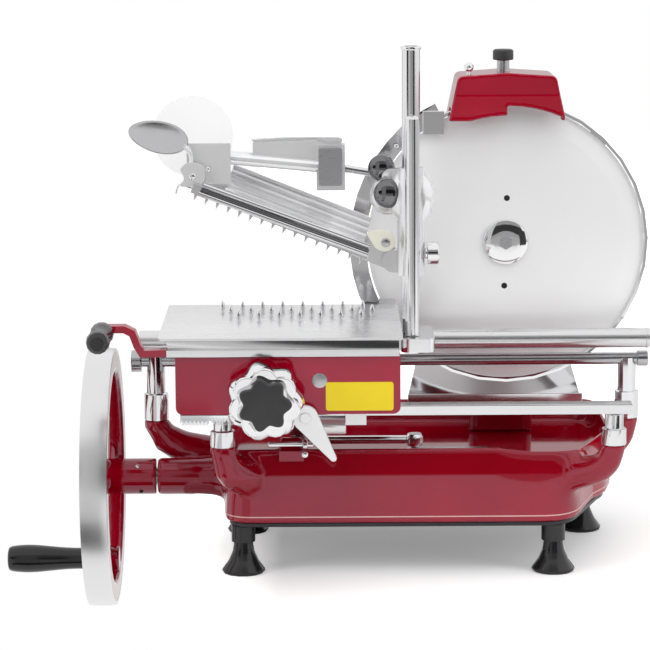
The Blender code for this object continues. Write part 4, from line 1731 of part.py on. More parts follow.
def centre_on_origin(frame):
    """Moves everything so that the origin lies under the middle of the part, on its lowest plane."""
    bpy.context.view_layer.update()
    graph = bpy.context.evaluated_depsgraph_get()
    low = Vector((math.inf, math.inf, math.inf))
    high = -low
    for obj in bpy.data.objects:
        if obj.type != "MESH" or obj.hide_render:
            continue
        solid = obj.evaluated_get(graph)
        mesh = solid.to_mesh()
        for vertex in mesh.vertices:
            point = solid.matrix_world @ vertex.co
            low = Vector(map(min, low, point))
            high = Vector(map(max, high, point))
        solid.to_mesh_clear()
    middle = (low + high) / 2
    frame.location -= Vector((middle.x, middle.y, low.z))
    bpy.context.view_layer.update()


main()
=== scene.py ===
"""Hand crank meat slicer, dressed over its CAD frame: camera, studio, materials and detailed pieces."""

import json
import math

import bmesh
import bpy
import numpy as np
from mathutils import Matrix, Vector
from mathutils.bvhtree import BVHTree


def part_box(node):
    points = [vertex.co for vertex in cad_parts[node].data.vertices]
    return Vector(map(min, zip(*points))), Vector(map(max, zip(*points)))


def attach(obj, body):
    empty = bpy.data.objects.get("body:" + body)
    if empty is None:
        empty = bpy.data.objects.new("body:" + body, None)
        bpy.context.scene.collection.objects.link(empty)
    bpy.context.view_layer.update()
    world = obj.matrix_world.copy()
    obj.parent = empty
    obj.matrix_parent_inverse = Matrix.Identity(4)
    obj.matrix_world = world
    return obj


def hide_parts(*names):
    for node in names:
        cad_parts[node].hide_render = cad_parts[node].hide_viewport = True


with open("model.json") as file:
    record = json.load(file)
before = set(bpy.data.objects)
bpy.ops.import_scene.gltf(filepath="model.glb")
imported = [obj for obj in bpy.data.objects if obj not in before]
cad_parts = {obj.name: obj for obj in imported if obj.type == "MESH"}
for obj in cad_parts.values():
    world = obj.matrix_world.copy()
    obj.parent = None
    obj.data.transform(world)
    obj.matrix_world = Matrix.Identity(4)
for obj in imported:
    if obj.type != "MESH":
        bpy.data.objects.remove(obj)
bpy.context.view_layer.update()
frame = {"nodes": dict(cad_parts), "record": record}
scene = bpy.context.scene
nodes = frame["nodes"]
body_of_node = {n: b for b, names in frame["record"]["behaviour"]["bodies"].items() for n in names}

# Pieces are drawn with heights from the plane of the feet and depths from the blade's front face,
# then set off to the row's frame by this shift.
blade_low, blade_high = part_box("blade")
SHIFT = Vector(((blade_low[0] + blade_high[0]) / 2 - 0.164, blade_low[1], (blade_low[2] + blade_high[2]) / 2 - 0.2776))
FIT = 0.0003


# Materials: every one is made of nodes, with its own variation of colour, roughness and relief.

def shader_for(name):
    made = bpy.data.materials.new(name)
    made.use_nodes = True
    tree = made.node_tree
    return made, tree, tree.nodes["Principled BSDF"]


def noise(tree, scale, detail=3.0, stretch=(1, 1, 1)):
    """Noise in the piece's own coordinates, stretched along an axis for brushed marks."""
    where = tree.nodes.new("ShaderNodeTexCoord")
    fitted = tree.nodes.new("ShaderNodeMapping")
    fitted.inputs["Scale"].default_value = stretch
    made = tree.nodes.new("ShaderNodeTexNoise")
    made.inputs["Scale"].default_value = scale
    made.inputs["Detail"].default_value = detail
    tree.links.new(where.outputs["Object"], fitted.inputs["Vector"])
    tree.links.new(fitted.outputs["Vector"], made.inputs["Vector"])
    return made.outputs["Fac"]


def ramp(tree, source, low, high, start=0.3, end=0.7):
    """Turns a 0 to 1 value into a colour between low and high."""
    made = tree.nodes.new("ShaderNodeValToRGB")
    made.color_ramp.elements[0].position = start
    made.color_ramp.elements[1].position = end
    made.color_ramp.elements[0].color = (*low, 1)
    made.color_ramp.elements[1].color = (*high, 1)
    tree.links.new(source, made.inputs["Fac"])
    return made.outputs["Color"]


def between(tree, source, low, high):
    made = tree.nodes.new("ShaderNodeMapRange")
    made.inputs["To Min"].default_value = low
    made.inputs["To Max"].default_value = high
    tree.links.new(source, made.inputs["Value"])
    return made.outputs["Result"]


def relief(tree, source, strength, distance=0.0002):
    made = tree.nodes.new("ShaderNodeBump")
    made.inputs["Strength"].default_value = strength
    made.inputs["Distance"].default_value = distance
    tree.links.new(source, made.inputs["Height"])
    return made.outputs["Normal"]


def enamel(name, deep=(0.20, 0.0, 0.004), bright=(0.31, 0.0, 0.008), rough=0.05):
    """Deep glossy red enamel, with a faint orange peel and a slow drift of colour."""
    made, tree, shader = shader_for(name)
    tree.links.new(ramp(tree, noise(tree, 9, 4), deep, bright), shader.inputs["Base Color"])
    tree.links.new(between(tree, noise(tree, 60, 2), rough * 0.7, rough * 1.6), shader.inputs["Roughness"])
    tree.links.new(relief(tree, noise(tree, 420, 2), 0.05), shader.inputs["Normal"])
    shader.inputs["IOR"].default_value = 1.66
    shader.inputs["Specular Tint"].default_value = (0.95, 0.80, 1.0, 1.0)
    return made


def metal(name, colour, rough, marks=(1, 1, 1), scale=300, depth=0.03, spread=0.35, share=1.0):
    """A metal with polishing marks: marks stretches them along an axis."""
    made, tree, shader = shader_for(name)
    shader.inputs["Metallic"].default_value = share
    dull = tuple(c * 0.94 for c in colour)
    tree.links.new(ramp(tree, noise(tree, 14, 5), dull, colour), shader.inputs["Base Color"])
    fine = noise(tree, scale, 3, marks)
    tree.links.new(between(tree, fine, rough * (1 - spread), rough * (1 + spread)), shader.inputs["Roughness"])
    if depth:
        tree.links.new(relief(tree, fine, depth), shader.inputs["Normal"])
    return made


def plastic(name, dark, light, rough, grain=500, depth=0.08):
    made, tree, shader = shader_for(name)
    tree.links.new(ramp(tree, noise(tree, 22, 4), dark, light), shader.inputs["Base Color"])
    tree.links.new(between(tree, noise(tree, 80, 3), rough * 0.8, rough * 1.25), shader.inputs["Roughness"])
    tree.links.new(relief(tree, noise(tree, grain, 2), depth), shader.inputs["Normal"])
    return made


def turned_metal(name, colour, rough, axis, centre, rings=900, depth=0.03, share=1.0):
    """A metal faced on a lathe: fine rings round an axis through centre."""
    made, tree, shader = shader_for(name)
    shader.inputs["Metallic"].default_value = share
    where = tree.nodes.new("ShaderNodeTexCoord")
    apart = tree.nodes.new("ShaderNodeVectorMath")
    apart.operation = "SUBTRACT"
    apart.inputs[1].default_value = centre
    tree.links.new(where.outputs["Object"], apart.inputs[0])
    flat = tree.nodes.new("ShaderNodeVectorMath")
    flat.operation = "MULTIPLY"
    flat.inputs[1].default_value = tuple(0 if "XYZ"[i] == axis else 1 for i in range(3))
    tree.links.new(apart.outputs["Vector"], flat.inputs[0])
    reach = tree.nodes.new("ShaderNodeVectorMath")
    reach.operation = "LENGTH"
    tree.links.new(flat.outputs["Vector"], reach.inputs[0])
    ring = tree.nodes.new("ShaderNodeTexNoise")
    ring.noise_dimensions = "1D"
    ring.inputs["Scale"].default_value = rings
    ring.inputs["Detail"].default_value = 4
    tree.links.new(reach.outputs["Value"], ring.inputs["W"])
    dull = tuple(c * 0.95 for c in colour)
    tree.links.new(ramp(tree, ring.outputs["Fac"], dull, colour), shader.inputs["Base Color"])
    tree.links.new(between(tree, ring.outputs["Fac"], rough * 0.9, rough * 1.1), shader.inputs["Roughness"])
    tree.links.new(relief(tree, ring.outputs["Fac"], depth), shader.inputs["Normal"])
    return made


# Camera, as in the photograph: a long lens, looking a little down from the front.
camera = bpy.data.objects.new("camera", bpy.data.cameras.new("camera"))
camera.data.sensor_width = 36
camera.data.lens = 36 * 2744 / 650
camera.data.clip_end = 30
tilt = Matrix.Rotation(math.radians(90 - 9.5), 4, "X") @ Matrix.Rotation(math.radians(-0.35), 4, "Z")
camera.matrix_world = Matrix.Translation(Vector((0, -2.4637, 0.6146)) + SHIFT) @ tilt
scene.collection.objects.link(camera)
scene.camera = camera
scene.view_settings.view_transform = "Standard"


def studio_world():
    """White for the camera, pale for gloss, softer for diffuse light."""
    world = bpy.data.worlds.new("studio")
    scene.world = world
    world.use_nodes = True
    tree = world.node_tree
    sky = tree.nodes["Background"]
    sky.inputs["Color"].default_value = (1, 1, 1, 1)
    path = tree.nodes.new("ShaderNodeLightPath")
    most = tree.nodes.new("ShaderNodeMath")
    most.operation = "MAXIMUM"
    tree.links.new(path.outputs["Is Camera Ray"], most.inputs[0])
    tree.links.new(path.outputs["Is Glossy Ray"], most.inputs[1])
    more = tree.nodes.new("ShaderNodeMath")
    more.operation = "MAXIMUM"
    tree.links.new(most.outputs["Value"], more.inputs[0])
    tree.links.new(path.outputs["Is Transmission Ray"], more.inputs[1])
    level = tree.nodes.new("ShaderNodeMapRange")
    level.inputs["To Min"].default_value = 0.55
    level.inputs["To Max"].default_value = 1.0
    tree.links.new(more.outputs["Value"], level.inputs["Value"])
    tree.links.new(level.outputs["Result"], sky.inputs["Strength"])


def lamp(name, place, aim, width, height, power):
    data = bpy.data.lights.new(name, "AREA")
    data.shape = "RECTANGLE"
    data.size = width
    data.size_y = height
    data.energy = power
    made = bpy.data.objects.new(name, data)
    turn = (Vector(aim) - Vector(place)).to_track_quat("-Z", "Y").to_matrix().to_4x4()
    made.matrix_world = Matrix.Translation(place) @ turn
    scene.collection.objects.link(made)
    made.visible_camera = False
    made.visible_glossy = False


def flat_stage(name, corners, finish):
    data = bpy.data.meshes.new(name)
    data.from_pydata(corners, [], [(0, 1, 2, 3)])
    data.materials.append(finish)
    made = bpy.data.objects.new(name, data)
    scene.collection.objects.link(made)
    return made


def floor_finish():
    """White for the camera, fading to its edges, and it keeps the object's shadow."""
    made, tree, shader = shader_for("studio_floor")
    shader.inputs["Roughness"].default_value = 0.9
    tree.links.new(ramp(tree, noise(tree, 3), (0.88, 0.88, 0.88), (0.9, 0.9, 0.9)), shader.inputs["Base Color"])
    glow = tree.nodes.new("ShaderNodeEmission")
    path = tree.nodes.new("ShaderNodeLightPath")
    where = tree.nodes.new("ShaderNodeTexCoord")
    from_middle = tree.nodes.new("ShaderNodeVectorMath")
    from_middle.operation = "LENGTH"
    tree.links.new(where.outputs["Object"], from_middle.inputs[0])
    far = between(tree, from_middle.outputs["Value"], 0.0, 1.0)
    far.node.inputs["From Min"].default_value = 0.42
    far.node.inputs["From Max"].default_value = 1.0
    split = tree.nodes.new("ShaderNodeSeparateXYZ")
    tree.links.new(where.outputs["Object"], split.inputs["Vector"])
    left = between(tree, split.outputs["X"], 1.0, 0.0)
    left.node.inputs["From Min"].default_value = edge_x
    left.node.inputs["From Max"].default_value = edge_x + 0.09
    fade = tree.nodes.new("ShaderNodeMath")
    fade.operation = "MAXIMUM"
    tree.links.new(far, fade.inputs[0])
    tree.links.new(left, fade.inputs[1])
    level = between(tree, fade.outputs["Value"], 0.24, 1.0)
    seen = tree.nodes.new("ShaderNodeMath")
    seen.operation = "MULTIPLY"
    tree.links.new(path.outputs["Is Camera Ray"], seen.inputs[0])
    tree.links.new(level, seen.inputs[1])
    tree.links.new(seen.outputs["Value"], glow.inputs["Strength"])
    both = tree.nodes.new("ShaderNodeAddShader")
    tree.links.new(shader.outputs["BSDF"], both.inputs[0])
    tree.links.new(glow.outputs["Emission"], both.inputs[1])
    tree.links.new(both.outputs["Shader"], tree.nodes["Material Output"].inputs["Surface"])
    return made


def card(name, corners, level):
    """A grey studio card that only reflections see."""
    made, tree, shader = shader_for(name)
    glow = tree.nodes.new("ShaderNodeEmission")
    glow.inputs["Color"].default_value = (level, level, level, 1)
    tree.links.new(glow.outputs["Emission"], tree.nodes["Material Output"].inputs["Surface"])
    plane = flat_stage(name, corners, made)
    plane.visible_camera = False
    plane.visible_diffuse = False
    plane.visible_shadow = False
    plane.visible_transmission = False


def upright(name, left, right, low, high, level):
    corners = [(left[0], left[1], low), (right[0], right[1], low), (right[0], right[1], high), (left[0], left[1], high)]
    card(name, corners, level)


FLOOR_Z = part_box("foot_front_left")[0][2]
edge_x = -0.135
studio_world()
flat_stage("floor", [(edge_x, -4, FLOOR_Z), (5, -4, FLOOR_Z), (5, 4, FLOOR_Z), (edge_x, 4, FLOOR_Z)], floor_finish())
CARD_Z = FLOOR_Z + 0.002
card("card_floor", [(-2.6, -3.6, CARD_Z), (2.6, -3.6, CARD_Z), (2.6, -1.5, CARD_Z), (-2.6, -1.5, CARD_Z)], 0.42)
upright("card_front", (-2.6, -3.6), (2.6, -3.6), 0.0, 0.35, 0.36)
upright("card_front_middle", (-2.6, -3.55), (2.6, -3.55), 0.35, 1.7, 0.04)
upright("card_front_high", (-2.6, -3.5), (2.6, -3.5), 1.7, 3.4, 0.34)
upright("card_rear", (-3.0, 3.0), (3.0, 3.0), 0.05, 1.0, 0.66)
upright("card_left", (-1.30, -0.85), (-0.75, -1.25), 0.30, 0.75, 0.04)
card("card_below", [(-0.60, -0.80, -0.30), (-0.14, -0.80, -0.30), (-0.14, -0.32, -0.30), (-0.60, -0.32, -0.30)], 0.03)
upright("card_wheel", (-1.10, -1.22), (-0.21, -1.28), 0.06, 1.30, 0.60)
upright("card_low", (-0.75, -1.20), (-0.14, -1.20), -0.60, 0.0, 0.62)
upright("card_right", (0.62, -1.25), (1.05, -0.95), 0.0, 0.62, 0.05)
lamp("lamp_top", (0.2, -0.5, 1.9), (0, 0, 0.2), 2.2, 1.7, 21)
lamp("lamp_left", (-1.6, -1.0, 1.1), (0, 0, 0.2), 0.9, 1.2, 11)
lamp("lamp_right", (1.7, -0.9, 1.0), (0.1, 0, 0.2), 0.8, 1.2, 8)


# Making and placing pieces

def surface(data, finish, angle=35):
    data.shade_smooth()
    data.set_sharp_from_angle(angle=math.radians(angle))
    data.materials.clear()
    data.materials.append(finish)


def place(name, shape, finish, body, *replaced, slot=None, angle=35, drawn=True):
    """Makes a piece from a bmesh, hangs it on a body and lets it stand for CAD nodes."""
    bmesh.ops.recalc_face_normals(shape, faces=shape.faces)
    data = bpy.data.meshes.new(name)
    shape.to_mesh(data)
    shape.free()
    surface(data, finish, angle)
    made = bpy.data.objects.new(name, data)
    scene.collection.objects.link(made)
    if drawn:
        made.location = SHIFT
    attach(made, body)
    if replaced:
        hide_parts(*replaced)
    return made


def soften(made, width, segments=2, angle=30):
    """Rounds the edges, so that they catch the light."""
    bevel = made.modifiers.new("edges", "BEVEL")
    bevel.width = width
    bevel.segments = segments
    bevel.limit_method = "ANGLE"
    bevel.angle_limit = math.radians(angle)
    bevel.harden_normals = True
    return made


def revolve(profile, axis, centre, steps=72, closed=False):
    """A turned form: profile holds (radius, distance along axis) pairs."""
    shape = bmesh.new()
    u, v = {"X": ((0, 1, 0), (0, 0, 1)), "Y": ((0, 0, 1), (1, 0, 0)), "Z": ((1, 0, 0), (0, 1, 0))}[axis]
    u, v = Vector(u), Vector(v)
    along = Vector([1.0 if "XYZ"[i] == axis else 0.0 for i in range(3)])
    rings = []
    for radius, reach in profile:
        middle = Vector(centre) + along * reach
        if radius < 1e-6:
            rings.append([shape.verts.new(middle)])
            continue
        ring = []
        for i in range(steps):
            turn = math.tau * i / steps
            ring.append(shape.verts.new(middle + (u * math.cos(turn) + v * math.sin(turn)) * radius))
        rings.append(ring)
    pairs = list(zip(rings, rings[1:]))
    if closed:
        pairs.append((rings[-1], rings[0]))
    for a, b in pairs:
        for i in range(steps):
            j = (i + 1) % steps
            if len(a) == 1 and len(b) == 1:
                continue
            if len(a) == 1:
                shape.faces.new((a[0], b[i], b[j]))
            elif len(b) == 1:
                shape.faces.new((a[i], a[j], b[0]))
            else:
                shape.faces.new((a[i], a[j], b[j], b[i]))
    return shape


def curve_points(points, steps=8):
    """A smooth line through the points, by Catmull and Rom's rule, for profiles and paths."""
    out = []
    count = len(points)
    for i in range(count - 1):
        a = points[max(i - 1, 0)]
        b, c = points[i], points[i + 1]
        d = points[min(i + 2, count - 1)]
        for k in range(steps):
            t = k / steps
            out.append(tuple(
                0.5 * (2 * q + (r - p) * t + (2 * p - 5 * q + 4 * r - s) * t * t + (3 * q - p - 3 * r + s) * t ** 3)
                for p, q, r, s in zip(a, b, c, d)))
    out.append(tuple(points[-1]))
    return out


def sweep(points, radii, sides=16, flat=1.0, closed_ends=True):
    """A round bar along a path, with its radius at each point; flat squeezes it across."""
    shape = bmesh.new()
    points = [Vector(p) for p in points]
    rings = []
    side = None
    for i, p in enumerate(points):
        ahead = (points[min(i + 1, len(points) - 1)] - points[max(i - 1, 0)]).normalized()
        if side is None:
            side = ahead.cross(Vector((0, 0, 1)))
            if side.length < 0.1:
                side = ahead.cross(Vector((0, 1, 0)))
        side = (side - ahead * side.dot(ahead)).normalized()
        up = side.cross(ahead).normalized()
        ring = []
        for k in range(sides):
            turn = math.tau * k / sides
            ring.append(shape.verts.new(p + (side * math.cos(turn) + up * math.sin(turn) * flat) * radii[i]))
        rings.append(ring)
    for a, b in zip(rings, rings[1:]):
        for k in range(sides):
            j = (k + 1) % sides
            shape.faces.new((a[k], a[j], b[j], b[k]))
    if closed_ends:
        shape.faces.new(rings[0])
        shape.faces.new(rings[-1])
    return shape


def slab(outline, low, high, plane="XZ"):
    """A plate: a flat outline pushed from low to high along the axis across its plane."""
    shape = bmesh.new()
    put = {"XZ": lambda a, b, h: (a, h, b), "XY": lambda a, b, h: (a, b, h), "YZ": lambda a, b, h: (h, a, b)}[plane]
    lower = [shape.verts.new(put(a, b, low)) for a, b in outline]
    upper = [shape.verts.new(put(a, b, high)) for a, b in outline]
    shape.faces.new(lower)
    shape.faces.new(upper)
    for i in range(len(outline)):
        j = (i + 1) % len(outline)
        shape.faces.new((lower[i], lower[j], upper[j], upper[i]))
    return shape


def merged(*shapes):
    """Several forms in one mesh."""
    whole = bmesh.new()
    for shape in shapes:
        data = bpy.data.meshes.new("part")
        shape.to_mesh(data)
        shape.free()
        whole.from_mesh(data)
        bpy.data.meshes.remove(data)
    return whole


def polished(node, finish, width=0.0004, angle=35, weld=0.00002, segments=2, edge_angle=30):
    """The CAD node's own form again, with smooth shading and rounded edges."""
    shape = bmesh.new()
    shape.from_mesh(nodes[node].data)
    bmesh.ops.remove_doubles(shape, verts=shape.verts, dist=weld)
    bmesh.ops.dissolve_limit(shape, angle_limit=math.radians(0.8), verts=shape.verts, edges=shape.edges)
    made = place(node + "_form", shape, finish, body_of_node[node], node, angle=angle, drawn=False)
    if width:
        soften(made, width, segments, edge_angle)
    return made


def post_form(node, top):
    """A post's own form, cut off level under the rail that it carries."""
    shape = bmesh.new()
    shape.from_mesh(nodes[node].data)
    everything = shape.verts[:] + shape.edges[:] + shape.faces[:]
    bmesh.ops.bisect_plane(shape, geom=everything, plane_co=(0, 0, SHIFT.z + top), plane_no=(0, 0, 1), clear_outer=True)
    rim = [edge for edge in shape.edges if edge.is_boundary]
    bmesh.ops.contextual_create(shape, geom=rim)
    made = place(node + "_form", shape, polished_z, body_of_node[node], node, drawn=False)
    return soften(made, 0.0005)


def calmed(data, weight, rounds):
    """Evens the surface out where weight(place) is above zero, so that joined forms flow together."""
    count = len(data.vertices)
    flat = np.empty(count * 3)
    data.vertices.foreach_get("co", flat)
    spots = flat.reshape(-1, 3)
    ends = np.empty(len(data.edges) * 2, dtype=np.int64)
    data.edges.foreach_get("vertices", ends)
    a, b = ends[0::2], ends[1::2]
    links = np.bincount(a, minlength=count) + np.bincount(b, minlength=count)
    share = np.clip(weight(spots), 0, 1)[:, None] * 0.6
    for _ in range(rounds):
        near = np.zeros_like(spots)
        for axis in range(3):
            near[:, axis] = np.bincount(a, spots[b, axis], count) + np.bincount(b, spots[a, axis], count)
        spots += (near / np.maximum(links, 1)[:, None] - spots) * share
    data.vertices.foreach_set("co", spots.ravel())
    data.update()


def cast(node, finish, voxel=0.0016, rounds=6, shape_by=None):
    """The CAD node as a casting: remeshed and smoothed, so that its joined forms flow together."""
    shape = bmesh.new()
    shape.from_mesh(nodes[node].data)
    bmesh.ops.remove_doubles(shape, verts=shape.verts, dist=0.00002)
    made = place(node + "_casting", shape, finish, body_of_node[node], node, drawn=False)
    grid = made.modifiers.new("grid", "REMESH")
    grid.mode = "VOXEL"
    grid.voxel_size = voxel
    calm = made.modifiers.new("calm", "SMOOTH")
    calm.factor = 0.5
    calm.iterations = rounds
    applied(made)
    if shape_by:
        shape_by(made.data)
    made.data.shade_smooth()
    return made


def applied(made):
    """Applies the modifiers, and keeps the material."""
    finish = made.data.materials[0]
    data = bpy.data.meshes.new_from_object(made.evaluated_get(bpy.context.evaluated_depsgraph_get()))
    made.modifiers.clear()
    old = made.data
    made.data = data
    data.name = made.name
    bpy.data.meshes.remove(old)
    data.materials.clear()
    data.materials.append(finish)


# Finishes
STEEL = (0.80, 0.80, 0.81)
red = enamel("red_enamel", (0.25, 0.0, 0.006), (0.35, 0.0, 0.012))
red_box = enamel("red_enamel_box", (0.26, 0.0, 0.008), (0.36, 0.0, 0.016))
chrome = metal("bright_chrome", (0.86, 0.86, 0.87), 0.07, (1, 1, 1), 60, 0.01)
polished_x = metal("polished_bar", (0.80, 0.80, 0.81), 0.14, (0.05, 1, 1), 500, 0.03)
polished_z = metal("polished_rod", (0.80, 0.80, 0.81), 0.10, (1, 1, 0.05), 500, 0.02)
sheet_metal = metal("polished_sheet", (0.82, 0.82, 0.83), 0.09, (0.1, 1, 1), 260, 0.02)
cast_bright = metal("bright_casting", (0.84, 0.84, 0.85), 0.14, (1, 1, 1), 120, 0.04, share=0.6)
tube_satin = metal("tube_satin", (0.76, 0.76, 0.77), 0.24, (0.05, 1, 1), 400, 0.02, share=0.9)
rail_dark = metal("rail_steel", (0.50, 0.50, 0.51), 0.18, (0.05, 1, 1), 400, 0.02)
satin = metal("satin_plate", (0.86, 0.86, 0.87), 0.30, (0.1, 1, 1), 260, 0.02, share=0.75)
leaf_face = metal("leaf_face", (0.52, 0.52, 0.53), 0.28, (1, 1, 1), 90, 0.03)
# Chrome with its base colour darkened to 0.2, for the clamp domes and the middle comb roll: the darkness is a painted
# dark reflection
painted_dark_reflection_chrome = metal("painted_dark_reflection_chrome", (0.20, 0.20, 0.21), 0.05, (1, 1, 1), 60, 0.01)
machined = metal("machined_steel", (0.52, 0.52, 0.54), 0.30, (0.2, 1, 1), 420, 0.05)
galvanised = metal("galvanised_plate", (0.56, 0.56, 0.57), 0.42, (1, 1, 1), 90, 0.04)
black = plastic("black_plastic", (0.008, 0.008, 0.009), (0.02, 0.02, 0.022), 0.16, 160, 0.03)
black_satin = plastic("black_insert", (0.022, 0.022, 0.024), (0.035, 0.035, 0.037), 0.42, 900, 0.12)
dark_rim = plastic("dark_rim", (0.010, 0.009, 0.012), (0.022, 0.02, 0.026), 0.3, 300, 0.05)
stone = plastic("abrasive_stone", (0.50, 0.48, 0.45), (0.66, 0.64, 0.60), 0.85, 1400, 0.5)
cream = plastic("cream_washer", (0.66, 0.65, 0.55), (0.74, 0.73, 0.63), 0.35, 200, 0.03)
yellow = plastic("plain_yellow_plate", (0.80, 0.60, 0.0), (0.86, 0.66, 0.005), 0.3, 300, 0.03)
pin_line = plastic("pin_line", (0.70, 0.42, 0.40), (0.78, 0.50, 0.47), 0.35, 300, 0.03)
# Near-black finish for the discs on the blade's holes and for one hub screw: painted shade of deep holes
shade_black = plastic("painted_hole_shade", (0.004, 0.004, 0.004), (0.010, 0.010, 0.010), 0.6, 300, 0.05)
blade_face = turned_metal("blade_face", (0.97, 0.97, 0.975), 0.32, "Y", (0.164, 0, 0.2776), 2400, 0.006, 0.28)
wheel_rim = turned_metal("wheel_rim", (0.80, 0.80, 0.81), 0.30, "X", (-0.2, -0.045, 0.0727), 260, 0.02)

made, tree, shader = shader_for("pale_guard")
tree.links.new(ramp(tree, noise(tree, 12), (0.88, 0.88, 0.88), (0.93, 0.93, 0.93)), shader.inputs["Base Color"])
tree.links.new(between(tree, noise(tree, 60), 0.2, 0.3), shader.inputs["Roughness"])
shader.inputs["Alpha"].default_value = 0.22
pale = made

FINISH = {
    "shaft_bush": machined, "drive_shaft": machined, "crank_arm": machined,
    "crank_gear": machined, "cross_shaft": machined, "riser_shaft": machined, "blade_spindle": machined,
    "stone_carrier": machined, "rack_strip": chrome, "connecting_rod": polished_x, "table_slide": machined,
    "slide_block_left": machined, "slide_block_right": machined, "lock_pin": chrome, "carriage_box": red_box,
    "handle_bracket": red_box, "handle_spool": black, "foot_front_left": black,
    "foot_front_right": black, "foot_rear_left": black, "foot_rear_right": black,
    "sharpener_knob": black_satin, "grinding_stone": stone, "honing_stone": stone, "hand_guard": pale,
    "front_bar": polished_x, "rear_rail": rail_dark, "front_shoe": cast_bright,
    "column": polished_z, "front_rod": polished_z, "column_foot": sheet_metal, "press_slider": cast_bright,
    "press_arm": cast_bright, "comb_bar": polished_x, "bar_handle": cast_bright, 
    "link_rod": polished_x, "clamp_knob": chrome, "guard_plate": sheet_metal,
    "receiving_tray": sheet_metal, "release_lever": cast_bright, "feed_knob": chrome, "ball_pin": chrome,
    "carriage_channel": polished_x, "meat_table": satin, "ring_guard": chrome, 
    "front_post_left": polished_z, "front_post_right": polished_z, "rear_post_left": polished_z,
}
for name, finish in FINISH.items():
    width = 0.0003 if finish in (machined, shade_black) else 0.0005
    polished(name, finish, width)


# Red castings
def flank_in(data):
    """Draws the right flank in below the arms."""
    for vertex in data.vertices:
        reach = min(max((vertex.co.x - SHIFT.x - 0.185) / 0.078, 0), 1)
        below = min(max((SHIFT.z + 0.0880 - vertex.co.z) / 0.016, 0), 1)
        front = min(max((SHIFT.y + 0.020 - vertex.co.y) / 0.060, 0), 1)
        vertex.co.x -= 0.0125 * reach * reach * (3 - 2 * reach) * below * front


def base_shape(data):
    """Lets the front lean in above mid height, evens out the front corners where the arms grow out, and draws the right
    flank in below the arms.
    """
    top = SHIFT.z + 0.0905
    for vertex in data.vertices:
        rise = vertex.co.z - top
        if rise > 0 and vertex.co.y < SHIFT.y - 0.100 and SHIFT.x - 0.10 < vertex.co.x < SHIFT.x + 0.21:
            vertex.co.y += rise * 0.20
    calmed(data, flare_weight, 90)
    flank_in(data)


def flare_weight(spots):
    """High at the right front corner of the base, where the arm grows out of the front."""
    x, y, z = (spots[:, i] - SHIFT[i] for i in range(3))
    right = np.clip((x - 0.150) / 0.03, 0, 1) * np.clip((0.1198 - z) / 0.010, 0, 1)
    left = np.clip((-0.055 - x) / 0.03, 0, 1) * np.clip((0.1130 - z) / 0.012, 0, 1) * np.clip((z - 0.0930) / 0.008, 0, 1)
    high = np.clip((z - 0.0500) / 0.010, 0, 1)
    return (right + left) * high * np.clip((0.10 - y) / 0.05, 0, 1)


def cover_shape(data):
    """Lets the cover's lower front flare towards the blade."""
    start = SHIFT.z + 0.4115
    for vertex in data.vertices:
        drop = start - vertex.co.z
        if drop > 0 and vertex.co.y < SHIFT.y - 0.004:
            vertex.co.y -= drop * 0.22


rim_made = polished("base_plate", dark_rim, 0.0005)
base_made = cast("base_casting", red, 0.0016, 8, base_shape)
cast("sharpener_cover", red_box, 0.0011, 4, cover_shape)
flank_in(rim_made.data)
cast("blade_support", red, 0.0016, 6)
cast("flywheel", red, 0.0013, 5)


# Flywheel: smooth rim, bright outside, red inside
WHEEL = (-0.2005, -0.045, 0.0727)
profile = curve_points([(0.0945, -0.0100), (0.0955, -0.0116), (0.1130, -0.0117), (0.1155, -0.0105), (0.1160, 0),
                        (0.1155, 0.0105), (0.1130, 0.0117), (0.0955, 0.0116), (0.0945, 0.0100)], 3)
outer = [p for p in profile if p[0] > 0.1125]
rim = revolve([(0.1122, -0.0118), *outer, (0.1122, 0.0118)], "X", WHEEL, 160, closed=True)
place("wheel_bright_rim", rim, wheel_rim, "drive_wheel", slot="polished_steel")
left_face = revolve([(0.0975, -0.01195), (0.1128, -0.0121), (0.1128, -0.0110), (0.0975, -0.0110)], "X", WHEEL, 160, closed=True)
place("wheel_left_face", left_face, wheel_rim, "drive_wheel", slot="polished_steel")

# Grip: turned in one, with its round end and a waist towards the wheel
GRIP_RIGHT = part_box("crank_grip")[1][0] - SHIFT.x
grip_low, grip_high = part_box("crank_grip")
grip_axis = ((grip_low[1] + grip_high[1]) / 2 - SHIFT.y, (grip_low[2] + grip_high[2]) / 2 - SHIFT.z)
grip_line = curve_points([(0.0, -0.0735), (0.0060, -0.0732), (0.0098, -0.0722), (0.0112, -0.0700), (0.0121, -0.0650), (0.0127, -0.0560),
                          (0.0124, -0.0460), (0.0113, -0.0340), (0.0102, -0.0220), (0.0097, -0.0120), (0.0096, -0.0010), (0.0090, 0.0)], 6)
turned_grip = revolve([*grip_line, (0.0046, 0.0), (0.0046, -0.0560), (0.0, -0.0560)], "X", (GRIP_RIGHT, *grip_axis), 64)
place("grip_turned", turned_grip, black, "grip", "crank_grip", slot="black_plastic", angle=50)

# Blade: a smooth disc with a ground bevel, and near-black discs on its face where its two holes are, painted shade for
# the holes
blade_profile = [(0.0125, 0), (0.108, 0.00005), (0.1085, 0.0002), (0.1247, 0.0024), (0.125, 0.0027), (0.1248, 0.003), (0.0125, 0.003)]
place("blade_disc", revolve(blade_profile, "Y", (0.164, 0, 0.2776), 180, closed=True), blade_face, "blade_drive", "blade", slot="polished_steel")
# Each hole is a thin near-black disc on the blade's face, not cut through: painted shade
for side in (-1, 1):
    spot = (0.164 + side * 0.001, -0.0001, 0.2776 + side * 0.040)
    place("blade_hole_shade_disc_%d" % (side + 2), revolve([(0, -0.00002), (0.0027, -0.00002), (0.0027, 0.0004), (0, 0.0004)], "Y", spot, 24), shade_black, "blade_drive")

